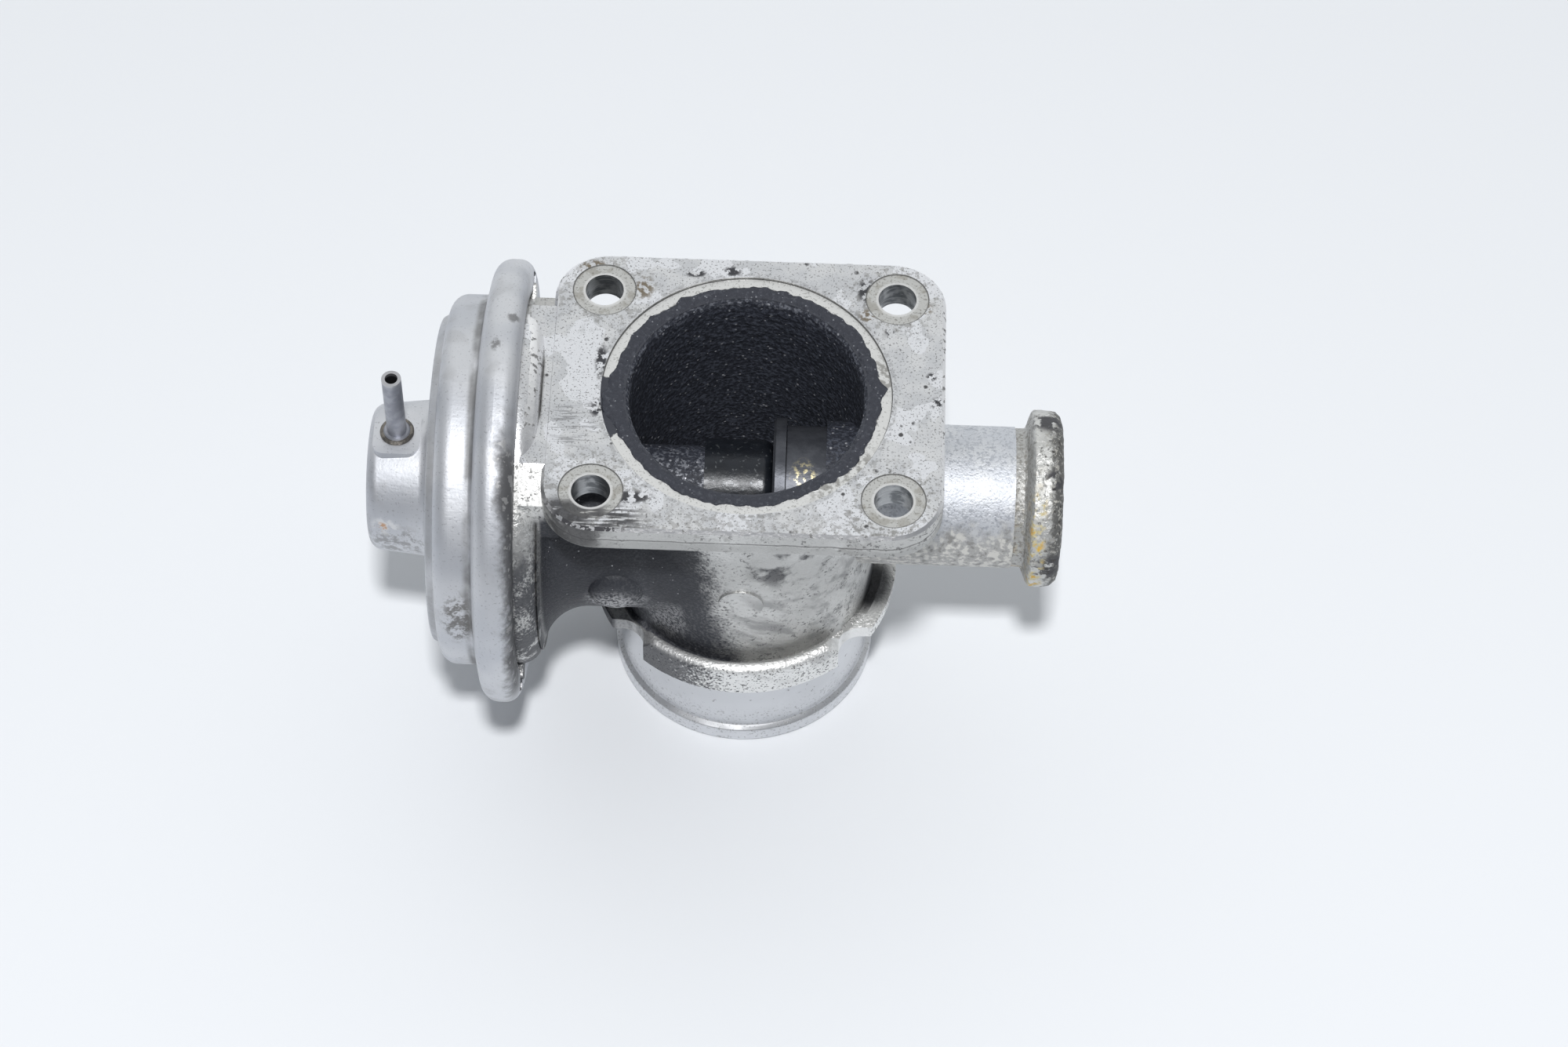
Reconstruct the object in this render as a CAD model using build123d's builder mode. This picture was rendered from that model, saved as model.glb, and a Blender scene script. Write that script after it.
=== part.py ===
"""Vacuum-operated exhaust gas recirculation valve, in millimetres.

+Z runs up the air duct, from the hose spigot at the bottom to the square flange at the top,
+X points to the exhaust inlet and -X to the vacuum actuator. The origin is the centre of the
spigot's end. The valve is modelled closed, as its spring holds it.
"""

import os
from build123d import *

# ---------------------------------------------------------------- driving dimensions
# Air duct and hose spigot
body_height = 88.7  # spigot end to flange face
duct_r = 24.0  # cast bore
duct_wall = 3.4
bore_allowance = 0.4  # the duct is machined at both ends
top_bore_depth = 12.0
bottom_bore_depth = 20.0
spigot_wall = 2.4
bead_stand_out = 1.2  # hose bead round the spigot's end
bead_height = 4.6
bead_slope = 0.9

# Collar that the hose butts against: high in front and behind, low at both sides
collar_gap = 3.5  # from the collar's foot up to the neck
collar_wall = 2.8
collar_height = 8.5
collar_round = 1.8
collar_groove = 2.1  # gap between the collar and the duct
collar_groove_depth = 4.2
collar_groove_r = 0.9
collar_crest_x = 18.6  # ends of the high stretches
collar_slope = 3.2  # length of the slopes beyond them
collar_low_height = 3.4
collar_end_round = 2.5
side_groove_floor = 1.4  # below the groove on the exhaust side
side_groove_half_width = 13.5
notch_x = 20.5  # inner faces of the four clip notches
notch_y = 17.0
notch_size = 20.0
notch_round = 5.0

# Square flange
flange_margin_x = 10.0  # bolt centre to the flange's edge
flange_margin_y = 9.2
flange_thickness = 6.5
flange_corner_r = 11.0
flange_root_r = 5.0
flange_root_flat = 0.2  # of the flange's underside, kept outside the root's fillet
flange_edge_break = 0.6
bolt_spacing_x = 60.0
bolt_spacing_y = 50.0
bolt_hole_r = 3.9
contact_ring_r = 6.55  # spotface round each bolt hole
contact_ring_depth = 0.15
seal_recess_r = 29.45
seal_recess_depth = 0.5

# Exhaust arm, its steel sleeve, the seat and the clamp flange
arm_bore_r = 12.0
arm_wall = 2.7
arm_end_x = 55.5
seat_boss_x = 16.5
sleeve_wall = 1.4
sleeve_setback = 1.2  # sleeve end inside the clamp flange's face
weld_leg = 0.9
clamp_wall = 2.4
clamp_neck_length = 1.9
clamp_cone_length = 1.9
clamp_rim_height = 3.9
clamp_land = 3.6
clamp_nose_length = 2.3
seat_shoulder = 1.4
seat_ring_length = 8.1
seat_tail_length = 3.6
seat_wall = 1.8
seat_chamfer = 1.2

# Moving valve
stem_r = 4.0
stem_step = 1.0
stem_head_stand_out = 1.6
stem_head_height = 1.6
seat_gap = 0.2
poppet_overhang = 1.5  # beyond the seat ring
poppet_thickness = 2.6
poppet_round = 0.5
poppet_plug_length = 1.3
poppet_plug_clearance = 0.5
shield_gap = 0.6  # between the shield and the guide's boss
shield_wall = 1.0
shield_length = 14.1

# Stem guide
guide_boss_wall = 2.6
guide_boss_front_x = -7.5  # inside the duct
guide_setback = 2.5  # back of the boss, from the back of the bowl
guide_bush_wall = 1.95
guide_clearance = 0.05
scraper_thickness = 1.5
seal_pocket_step = 1.5
seal_pocket_wall = 3.0
seal_thickness = 3.6
seal_lip_height = 1.6
seal_lip_width = 1.4
retainer_thickness = 1.4
retainer_hole_clearance = 1.2

# Cast actuator bowl, its neck and the bridge to the flange
bowl_back_x = -41.0
bowl_inset = 0.5  # the bowl is this much smaller than the can
bowl_wall = 3.2
bowl_corner_r = 4.8
bowl_floor = 3.0
bowl_length = 4.4  # from its back to the rolled rim
bowl_edge_round = 1.7
neck_inset = 1.9  # the neck is this much smaller than the duct
neck_wall = 4.0
neck_gap = 1.7  # from the neck up to the flange
neck_shoulder = 3.0  # flat of the bowl's back outside the neck's flare
neck_blend_r = 3.4  # where the neck runs into the duct
bridge_half_width = 26.0
bridge_drop = 4.7  # below the flange face
bridge_height = 11.0
bridge_gap = 0.8  # between the rolled rim and the bridge
bridge_length = 7.8
saddle_half_width = 14.0  # web between the top of the neck and the flange
land_drop = 0.1
land_front_y = -18.9
land_back_y = 20.5
knob_r = 6.1  # round knob on the front of the neck
knob_x = -25.8
knob_drop = 2.0  # below the valve axis
knob_stand_out = 1.3
knob_round = 3.0
pad_r = 4.6  # plain round pad on the front of the duct
pad_drop = 2.0
pad_height = 0.35
ear_angle = 34.0  # the two ears on the bowl lie on one diameter, this far above the back
ear_width = 5.4
ear_height = 3.2  # above the bowl
ear_round = 0.8
ear_stand_out = 0.5  # beyond the rolled rim
ear_clearance = 0.2
breather_inset = 2.4  # from the rim to the opening over each ear
breather_depth = 2.2
breather_hole_r = 0.7

# Actuator cover, a pressed shell whose edge is rolled round the bowl's flange
sheet = 1.2
can_r = 38.5
can_length = 7.8
can_root_round = 0.8
can_corner_r = 3.4
rim_height = 7.55  # above the can
rim_width = 7.0  # straight top of the rim
rim_flank = 1.7  # length of its sloped left flank
rim_left_round = 3.4
rim_right_round = 2.9
rim_lip_gap = 1.6  # between the bowl and the rim's lip
plateau_inset = 4.9
plateau_rise = 1.7
plateau_step = 0.9  # height of the small step round the plateau
plateau_round = 0.5
dome_foot = 1.4  # from the plateau to the foot of the dome
dome_length = 12.7
dome_taper = 1.4  # how much smaller the dome's end is than its foot
dome_root_round = 2.0
dome_round = 2.6
pad_length = 9.6  # flat pad pressed into the dome for the nipple
pad_width = 11.0
pad_stand_out = 1.2  # above the dome's end
pad_corner_r = 2.5

# Vacuum nipple
nipple_setback = 6.1  # from the dome's end
nipple_r = 2.0
nipple_bore_r = 1.3
nipple_length = 18.4  # above the pad
nipple_collar_r = 2.75
nipple_collar_height = 0.9
collar_chamfer = 0.25
nipple_tail = 1.0  # beyond the inside of the dome
braze_r = 3.5
braze_height = 0.6

# Diaphragm and what it is clamped between
rubber = 1.2
bead_thickness = 2.2  # at the inner edge of the diaphragm's bead
bead_width = 3.1
bead_clearance = 0.5  # between the rim and the bead
rim_clearance = 0.2  # between the rim and the bowl's flange
diaphragm_setback = 6.6  # from the back of the bowl to the stem side of the diaphragm, valve closed
fold_clearance = 1.3  # between the fold and the can
fold_width = 8.0
fold_depth = 3.6  # from the bowl's mouth to the crown of the fold
fold_round = 1.8
bead_round = 1.8
plate = 1.0
plate_inset = 1.5  # each plate inside the fold
plate_lip = 1.4
cup_lip = 3.0
washer_overhang = 2.6  # beyond the stem's head
washer_thickness = 1.2

# Return spring
wire_r = 1.1
spring_mean_r = 11.8
spring_turns = 6.5
spring_clearance = 0.9  # inside the dome

# ---------------------------------------------------------------- radii and places worked out from them
duct_outer_r = duct_r + duct_wall
end_bore_r = duct_r + bore_allowance
spigot_r = end_bore_r + spigot_wall
bead_r = spigot_r + bead_stand_out
neck_r = duct_outer_r - neck_inset
flange_length = bolt_spacing_x + 2 * flange_margin_x
flange_width = bolt_spacing_y + 2 * flange_margin_y
flange_core_r = duct_outer_r + flange_root_r + flange_root_flat
flange_under_z = body_height - flange_thickness
axis_height = flange_under_z - neck_gap - neck_r
collar_z = axis_height - neck_r - collar_gap
collar_top_z = collar_z + collar_height
collar_low_z = collar_z + collar_low_height
collar_low_x = collar_crest_x + collar_slope
groove_outer_r = duct_outer_r + collar_groove
collar_r = groove_outer_r + collar_wall
valve_plane = Plane(origin=(0, 0, axis_height), x_dir=(1, 0, 0), z_dir=(0, -1, 0))
valve_axis = Axis((0, 0, axis_height), (1, 0, 0))
arm_r = arm_bore_r + arm_wall
bowl_r = can_r - bowl_inset
bowl_inner_r = bowl_r - bowl_wall
neck_root_r = bowl_r - neck_r - neck_shoulder
rim_r = can_r + rim_height
rim_lip_r = bowl_r + rim_lip_gap
rim_right_x = bowl_back_x - bowl_length
rim_crest_x = rim_right_x - rim_width
rim_left_x = rim_crest_x - rim_flank
can_face_x = rim_left_x - can_length
plateau_r = can_r - plateau_inset
plateau_x = can_face_x - plateau_rise
bridge_left_x = rim_right_x + bridge_gap
bridge_z = body_height - bridge_drop
bridge_foot_z = bridge_z - bridge_height
land_z = body_height - land_drop
knob_z = axis_height - knob_drop
knob_front_y = -neck_r - knob_stand_out
ear_r = bowl_r + ear_height
breather_r = rim_r - breather_inset
pocket_right_x = rim_right_x - sheet
pocket_r = rim_r - sheet - rim_clearance
rim_lean = rim_flank / rim_height
bead_outer_r = rim_r - sheet - bead_clearance
bead_inner_r = bead_outer_r - bead_width
bead_crest_x = rim_left_x + sheet + rim_lean * (bead_outer_r + sheet - can_r)  # on the inside of the flank
bead_foot_x = rim_left_x + sheet + rim_lean * (bead_inner_r + sheet - can_r)
bowl_mouth_x = bead_foot_x + bead_thickness
bowl_floor_x = bowl_back_x - bowl_floor
ear_x = rim_right_x + ear_stand_out
fold_x = bowl_mouth_x - fold_depth
fold_outer_r = can_r - sheet - fold_clearance
fold_inner_r = fold_outer_r - fold_width
sleeve_bore_r = arm_bore_r - sleeve_wall
seat_ring_r = arm_bore_r + seat_shoulder
seat_bore_r = arm_bore_r - seat_wall
seat_face_x = seat_boss_x - seat_ring_length
poppet_r = seat_ring_r + poppet_overhang
poppet_face_x = seat_face_x - seat_gap
poppet_back_x = poppet_face_x - poppet_thickness
shield_floor_x = poppet_back_x - shield_wall
stem_tail_r = stem_r - stem_step
stem_head_r = stem_tail_r + stem_head_stand_out
guide_bore_r = stem_r + guide_clearance
guide_bush_r = guide_bore_r + guide_bush_wall
guide_boss_r = guide_bush_r + guide_boss_wall
guide_boss_back_x = bowl_back_x + guide_setback
seal_pocket_r = guide_bush_r + seal_pocket_step
guide_back_r = seal_pocket_r + seal_pocket_wall
shield_r = guide_boss_r + shield_gap + shield_wall
bush_front_x = guide_boss_front_x - scraper_thickness
seal_front_x = guide_boss_back_x + retainer_thickness + seal_thickness
diaphragm_x = bowl_back_x - diaphragm_setback
plate_x = diaphragm_x + plate  # side of the plate that the stem's shoulder bears on
plate_r = fold_inner_r - plate_inset
cup_r = plate_r - plate_inset
diaphragm_front_x = diaphragm_x - rubber
cup_x = diaphragm_front_x - plate
washer_x = cup_x - washer_thickness
washer_r = stem_head_r + washer_overhang
clamp_neck_r = arm_bore_r + clamp_wall
clamp_rim_r = clamp_neck_r + clamp_rim_height
clamp_cone_x = arm_end_x + clamp_neck_length
clamp_rim_x = clamp_cone_x + clamp_cone_length
clamp_nose_x = clamp_rim_x + clamp_land
clamp_face_x = clamp_nose_x + clamp_nose_length
sleeve_end_x = clamp_face_x - sleeve_setback
plug_r = seat_bore_r - poppet_plug_clearance
plug_end_x = poppet_face_x + poppet_plug_length
dome_root_x = plateau_x - dome_foot
dome_end_x = dome_root_x - dome_length
dome_end_r = spring_mean_r + wire_r + spring_clearance + sheet
dome_root_r = dome_end_r + dome_taper
dome_inside_x = dome_end_x + sheet
spring_length = cup_x - dome_inside_x
spring_pitch = (spring_length - 2 * wire_r) / spring_turns
nipple_x = dome_end_x + nipple_setback
nipple_pad_rise = dome_end_r + pad_stand_out  # above the valve axis
nipple_pad_z = axis_height + nipple_pad_rise
nipple_foot_z = nipple_pad_z - sheet - nipple_tail
nipple_top_z = nipple_pad_z + nipple_length


def across(x):
    """The plane across the valve axis at x, with its normal along +X."""
    return Plane(origin=(x, 0, axis_height), x_dir=(0, 1, 0), z_dir=(1, 0, 0))


def ear_pair(x, inner_r, outer_r, width):
    """Outlines of the two ears, or of what is cut for them, on a plane across the valve axis at x."""
    with BuildSketch(across(x)) as outlines:
        with PolarLocations((inner_r + outer_r) / 2, 2, start_angle=ear_angle):
            RectangleRounded(outer_r - inner_r, width, ear_round)
    return outlines.sketch


def write(piece, name):
    """Labels a finished piece and writes its STEP file."""
    piece.part.label = name
    export_step(piece.part, f"parts/{name}.step")


os.makedirs("parts", exist_ok=True)

# ---------------------------------------------------------------- valve_body
# Collar round the duct, before it joins the casting: its wall stands off the duct by a groove.
with BuildPart() as collar:
    with BuildSketch(Plane.XZ):
        with BuildLine():
            FilletPolyline(
                (duct_r, collar_z),
                (collar_r, collar_z),
                (collar_r, collar_top_z),
                (groove_outer_r, collar_top_z),
                (groove_outer_r, collar_top_z - collar_groove_depth),
                (duct_outer_r, collar_top_z - collar_groove_depth),
                (duct_outer_r, collar_top_z),
                (duct_r, collar_top_z),
                radius=[0.5, collar_round, collar_groove_r, collar_groove_r, collar_groove_r, 0],
            )
            Line((duct_r, collar_top_z), (duct_r, collar_z))
        make_face()
    revolve(axis=Axis.Z)
    # Seen from the front, the wall falls to the low stretches in a slope
    with BuildSketch(Plane.XZ):
        with BuildLine():
            FilletPolyline(
                (0, collar_top_z),
                (collar_crest_x, collar_top_z),
                (collar_low_x, collar_low_z),
                (collar_r, collar_low_z),
                (collar_r, collar_z),
                (0, collar_z),
                radius=[collar_end_round, collar_end_round, 0, 0],
            )
            Line((0, collar_z), (0, collar_top_z))
        make_face()
        mirror(about=Plane.YZ)
    extrude(amount=collar_r, both=True, mode=Mode.INTERSECT)
    with BuildSketch(Plane.XY.offset(collar_z + side_groove_floor)):
        Circle(groove_outer_r)
        with Locations((groove_outer_r / 2, 0)):
            Rectangle(groove_outer_r, 2 * side_groove_half_width, mode=Mode.INTERSECT)
        Circle(duct_outer_r, mode=Mode.SUBTRACT)
    extrude(amount=collar_height, mode=Mode.SUBTRACT)
    with BuildSketch(Plane.XY.offset(collar_z)):
        with GridLocations(2 * notch_x + notch_size, 2 * notch_y + notch_size, 2, 2):
            RectangleRounded(notch_size, notch_size, notch_round)
    extrude(amount=collar_height, mode=Mode.SUBTRACT)

# Space inside the neck, between the bowl's floor, the duct's wall and the stem guide's boss.
with BuildPart() as neck_core:
    with BuildSketch(across(bowl_floor_x)):
        Circle(neck_r - neck_wall)
    extrude(amount=-bowl_floor_x)
    with BuildSketch(Plane.XY):
        Circle(duct_outer_r)
    extrude(amount=body_height, mode=Mode.SUBTRACT)
    with BuildSketch(across(guide_boss_back_x)):
        Circle(guide_back_r)
    extrude(amount=-guide_boss_back_x, mode=Mode.SUBTRACT)

# Round knob that stands out of the front of the neck.
with BuildPart() as knob:
    with BuildSketch(Plane.XZ.offset(-knob_front_y)):
        with Locations((knob_x, knob_z)):
            Circle(knob_r)
    extrude(amount=knob_front_y)
    fillet(faces().sort_by(Axis.Y)[0].edges(), knob_round)

# One aluminium casting: duct, hose spigot, square flange, exhaust arm, stem guide and bowl.
with BuildPart() as valve_body:
    # Duct and actuator neck, blended where they meet
    with BuildSketch(Plane.XY.offset(collar_z)):
        Circle(duct_outer_r)
    extrude(amount=body_height - collar_z)
    with BuildSketch(across(0)):
        Circle(neck_r)
    extrude(amount=bowl_back_x)
    fillet(edges().filter_by(GeomType.BSPLINE), neck_blend_r)

    # Whole outline of the duct, with its spigot and hose bead
    with BuildSketch(Plane.XZ):
        with BuildLine():
            FilletPolyline(
                (0, 0),
                (bead_r, 0),
                (bead_r, bead_height - bead_slope),
                (spigot_r, bead_height),
                (spigot_r, collar_z),
                (duct_outer_r, collar_z),
                (duct_outer_r, flange_under_z),
                (flange_core_r, flange_under_z),
                (flange_core_r, body_height),
                (0, body_height),
                radius=[0.5, 0.5, 0.4, 0, 0, flange_root_r, 0, 0],
            )
            Line((0, body_height), (0, 0))
        make_face()
    revolve(axis=Axis.Z)

    add(collar.part)

    # Square flange
    with BuildSketch(Plane.XY.offset(flange_under_z)):
        RectangleRounded(flange_length, flange_width, flange_corner_r)
    extrude(amount=flange_thickness)
    chamfer(faces().sort_by(Axis.Z)[-1].outer_wire().edges(), flange_edge_break)

    # Exhaust arm
    with BuildSketch(across(0)):
        Circle(arm_r)
    extrude(amount=arm_end_x)

    # Actuator bowl and its flared neck, with two ears on the bowl's flange
    with BuildSketch(valve_plane):
        with BuildLine():
            FilletPolyline(
                (0, 0),
                (0, neck_r),
                (bowl_back_x, neck_r),
                (bowl_back_x, bowl_r),
                (pocket_right_x, bowl_r),
                (pocket_right_x, pocket_r),
                (bowl_mouth_x, pocket_r),
                (bowl_mouth_x, 0),
                radius=[0, neck_root_r, bowl_corner_r, 0.4, bowl_edge_round, 0],
            )
            Line((bowl_mouth_x, 0), (0, 0))
        make_face()
    revolve(axis=valve_axis)
    extrude(ear_pair(pocket_right_x, bowl_inner_r, ear_r, ear_width), amount=ear_x - pocket_right_x)

    # Bridge from the bowl to the flange, the land along the flange's edge, and the saddle
    with BuildSketch(Plane.XY.offset(bridge_z)):
        with Locations((bridge_left_x, 0)):
            Rectangle(bridge_length, 2 * bridge_half_width, align=(Align.MIN, Align.CENTER))
    extrude(amount=-bridge_height)
    with BuildSketch(Plane.YZ.offset(bridge_left_x)):
        Polygon(
            (land_back_y, bridge_foot_z),
            (land_back_y, land_z),
            (land_front_y, land_z),
            (-bridge_half_width, bridge_z),
            (-bridge_half_width, bridge_foot_z),
            align=None,
        )
    extrude(amount=bridge_length)
    with BuildSketch(Plane.XY.offset(flange_under_z)):
        with Locations((bridge_left_x, 0)):
            Rectangle(-bridge_left_x, 2 * saddle_half_width, align=(Align.MIN, Align.CENTER))
    extrude(amount=-bridge_height)

    # Knob on the neck, and the plain pad on the duct's front
    add(knob.part)
    with BuildSketch(Plane.XZ.offset(duct_outer_r + pad_height)):
        with Locations((0, axis_height - pad_drop)):
            Circle(pad_r)
    extrude(amount=-duct_wall)

    # Bore, machined at both ends, and the seal recess in the flange
    with BuildSketch(Plane.XY):
        Circle(duct_r)
    extrude(amount=body_height, mode=Mode.SUBTRACT)
    with BuildSketch(Plane.XY):
        Circle(end_bore_r)
    extrude(amount=bottom_bore_depth, mode=Mode.SUBTRACT)
    with BuildSketch(Plane.XY.offset(body_height)):
        Circle(end_bore_r)
    extrude(amount=-top_bore_depth, mode=Mode.SUBTRACT)
    with BuildSketch(Plane.XY.offset(body_height)):
        Circle(seal_recess_r)
    extrude(amount=-seal_recess_depth, mode=Mode.SUBTRACT)

    # Inside the duct: the seat's boss on the right and the stem guide's boss on the left
    with BuildSketch(across(seat_boss_x)):
        Circle(arm_r)
    extrude(amount=duct_outer_r - seat_boss_x)
    with BuildSketch(across(guide_boss_front_x)):
        Circle(guide_boss_r)
    extrude(amount=-duct_outer_r - guide_boss_front_x)

    # Hollow of the bowl and of its neck
    with BuildSketch(across(bowl_mouth_x)):
        Circle(bowl_inner_r)
    extrude(amount=bowl_floor_x - bowl_mouth_x, mode=Mode.SUBTRACT)
    add(neck_core.part, mode=Mode.SUBTRACT)

    # Opening over each ear, with the hole that lets the bowl breathe
    breather_pockets = ear_pair(pocket_right_x, ear_r, breather_r, ear_width - 2 * ear_clearance)
    extrude(breather_pockets, amount=-breather_depth, mode=Mode.SUBTRACT)
    for angle in (ear_angle, ear_angle + 180):
        outward = Vector(0, 1, 0).rotate(Axis.X, angle)
        hole_plane = Plane(origin=(pocket_right_x - breather_depth / 2, 0, axis_height), z_dir=outward)
        with BuildSketch(hole_plane.offset(bowl_inner_r - bowl_floor)):
            Circle(breather_hole_r)
        extrude(amount=pocket_r - bowl_inner_r + bowl_floor, mode=Mode.SUBTRACT)

    # Bores along the valve axis: arm, stem guide and seal pocket
    with BuildSketch(across(seat_boss_x)):
        Circle(arm_bore_r)
    extrude(amount=arm_end_x - seat_boss_x, mode=Mode.SUBTRACT)
    with BuildSketch(across(guide_boss_front_x)):
        Circle(guide_bush_r)
    extrude(amount=guide_boss_back_x - guide_boss_front_x, mode=Mode.SUBTRACT)
    with BuildSketch(across(guide_boss_back_x)):
        Circle(seal_pocket_r)
    extrude(amount=seal_front_x - guide_boss_back_x, mode=Mode.SUBTRACT)

    # Bolt holes with their spotfaces
    with BuildSketch(Plane.XY.offset(body_height)):
        with GridLocations(bolt_spacing_x, bolt_spacing_y, 2, 2):
            Circle(contact_ring_r)
    extrude(amount=-contact_ring_depth, mode=Mode.SUBTRACT)
    with BuildSketch(Plane.XY.offset(body_height)):
        with GridLocations(bolt_spacing_x, bolt_spacing_y, 2, 2):
            Circle(bolt_hole_r)
    extrude(amount=-flange_thickness - flange_root_r / 2, mode=Mode.SUBTRACT)

write(valve_body, "valve_body")

# ---------------------------------------------------------------- exhaust inlet
# Steel tube pressed into the arm; it keeps the hot gas off the aluminium.
with BuildPart() as inlet_sleeve:
    with BuildSketch(across(seat_boss_x + seat_tail_length)):
        Circle(arm_bore_r)
        Circle(sleeve_bore_r, mode=Mode.SUBTRACT)
    extrude(amount=sleeve_end_x - seat_boss_x - seat_tail_length)
write(inlet_sleeve, "inlet_sleeve")

# Turned V-band clamp flange, welded on the sleeve and seated on the end of the arm.
with BuildPart() as clamp_flange:
    with BuildSketch(valve_plane):
        with BuildLine():
            Polyline(
                (clamp_face_x, arm_bore_r),
                (arm_end_x, arm_bore_r),
                (arm_end_x, clamp_neck_r),
                (clamp_cone_x, clamp_neck_r),
                (clamp_rim_x, clamp_rim_r),
                (clamp_nose_x, clamp_rim_r),
            )
            RadiusArc(
                (clamp_nose_x, clamp_rim_r),
                (clamp_face_x, clamp_rim_r - clamp_nose_length),
                clamp_nose_length,
            )
            Line((clamp_face_x, clamp_rim_r - clamp_nose_length), (clamp_face_x, arm_bore_r))
        make_face()
    revolve(axis=valve_axis)
write(clamp_flange, "clamp_flange")

# Weld bead inside the clamp flange, round the end of the sleeve.
with BuildPart() as sleeve_weld:
    with BuildSketch(valve_plane):
        with BuildLine():
            Polyline(
                (sleeve_end_x, sleeve_bore_r + weld_leg / 2),
                (sleeve_end_x, arm_bore_r),
                (sleeve_end_x + weld_leg, arm_bore_r),
                close=True,
            )
        make_face()
    revolve(axis=valve_axis)
write(sleeve_weld, "sleeve_weld")

# Hardened seat ring: a tail pressed into the arm behind a collar that stands in the duct.
with BuildPart() as seat_ring:
    with BuildSketch(valve_plane):
        with BuildLine():
            Polyline(
                (seat_face_x, seat_bore_r + seat_chamfer),
                (seat_face_x, seat_ring_r),
                (seat_boss_x, seat_ring_r),
                (seat_boss_x, arm_bore_r),
                (seat_boss_x + seat_tail_length, arm_bore_r),
                (seat_boss_x + seat_tail_length, seat_bore_r),
                (seat_face_x + seat_chamfer, seat_bore_r),
                close=True,
            )
        make_face()
    revolve(axis=valve_axis)
write(seat_ring, "seat_ring")

# ---------------------------------------------------------------- moving valve
# Stainless stem: a shoulder and a headed tail at each end hold what it carries.
with BuildPart() as valve_stem:
    with BuildSketch(valve_plane):
        with BuildLine():
            Polyline(
                (washer_x - stem_head_height, 0),
                (washer_x - stem_head_height, stem_tail_r),
                (washer_x - stem_head_height / 2, stem_head_r),
                (washer_x, stem_head_r),
                (washer_x, stem_tail_r),
                (plate_x, stem_tail_r),
                (plate_x, stem_r),
                (shield_floor_x, stem_r),
                (shield_floor_x, stem_tail_r),
                (plug_end_x, stem_tail_r),
                (plug_end_x, stem_head_r),
                (plug_end_x + stem_head_height / 2, stem_head_r),
                (plug_end_x + stem_head_height, stem_tail_r),
                (plug_end_x + stem_head_height, 0),
                close=True,
            )
        make_face()
    revolve(axis=valve_axis)
write(valve_stem, "valve_stem")

# Poppet: a disc that closes on the seat's end, with a low plug that centres it in the seat.
with BuildPart() as poppet:
    with BuildSketch(valve_plane):
        with BuildLine():
            Polyline(
                (poppet_back_x, stem_tail_r),
                (poppet_back_x, poppet_r - poppet_round),
                (poppet_back_x + poppet_round, poppet_r),
                (poppet_face_x, poppet_r),
                (poppet_face_x, plug_r),
                (plug_end_x, plug_r - poppet_plug_length),
                (plug_end_x, stem_tail_r),
                close=True,
            )
        make_face()
    revolve(axis=valve_axis)
write(poppet, "poppet")

# Pressed cup on the stem that keeps soot off the guide; it slides over the guide's boss.
with BuildPart() as stem_shield:
    with BuildSketch(valve_plane):
        with BuildLine():
            FilletPolyline(
                (poppet_back_x, stem_tail_r),
                (poppet_back_x, shield_r),
                (poppet_back_x - shield_length, shield_r),
                (poppet_back_x - shield_length, shield_r - shield_wall),
                (shield_floor_x, shield_r - shield_wall),
                (shield_floor_x, stem_tail_r),
                radius=[2 * shield_wall, 0, 0, shield_wall],
            )
            Line((shield_floor_x, stem_tail_r), (poppet_back_x, stem_tail_r))
        make_face()
    revolve(axis=valve_axis)
write(stem_shield, "stem_shield")

# ---------------------------------------------------------------- stem guide
# Bronze ring in the mouth of the guide that wipes soot off the stem.
with BuildPart() as stem_scraper:
    with BuildSketch(across(guide_boss_front_x)):
        Circle(guide_bush_r)
        Circle(guide_bore_r, mode=Mode.SUBTRACT)
    extrude(amount=-scraper_thickness)
write(stem_scraper, "stem_scraper")

# Sintered bush that the stem runs in, pressed into the boss.
with BuildPart() as guide_bush:
    with BuildSketch(across(bush_front_x)):
        Circle(guide_bush_r)
        Circle(guide_bore_r, mode=Mode.SUBTRACT)
    extrude(amount=seal_front_x - bush_front_x)
write(guide_bush, "guide_bush")

# Lip seal behind the bush, with a tapered lip towards the actuator.
with BuildPart() as stem_seal:
    with BuildSketch(valve_plane):
        with BuildLine():
            Polyline(
                (seal_front_x, guide_bore_r),
                (seal_front_x, seal_pocket_r),
                (seal_front_x - seal_thickness, seal_pocket_r),
                (seal_front_x - seal_thickness, seal_pocket_r - seal_lip_width),
                (seal_front_x - seal_lip_height, seal_pocket_r - seal_lip_width),
                (seal_front_x - seal_lip_height, guide_bore_r + seal_lip_width),
                (seal_front_x - seal_thickness, guide_bore_r + seal_lip_width / 2),
                (seal_front_x - seal_thickness, guide_bore_r),
                close=True,
            )
        make_face()
    revolve(axis=valve_axis)
write(stem_seal, "stem_seal")

# Steel washer pressed into the boss's mouth, which keeps the seal in.
with BuildPart() as seal_retainer:
    with BuildSketch(across(guide_boss_back_x)):
        Circle(seal_pocket_r)
        Circle(stem_r + retainer_hole_clearance, mode=Mode.SUBTRACT)
    extrude(amount=retainer_thickness)
write(seal_retainer, "seal_retainer")

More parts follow.
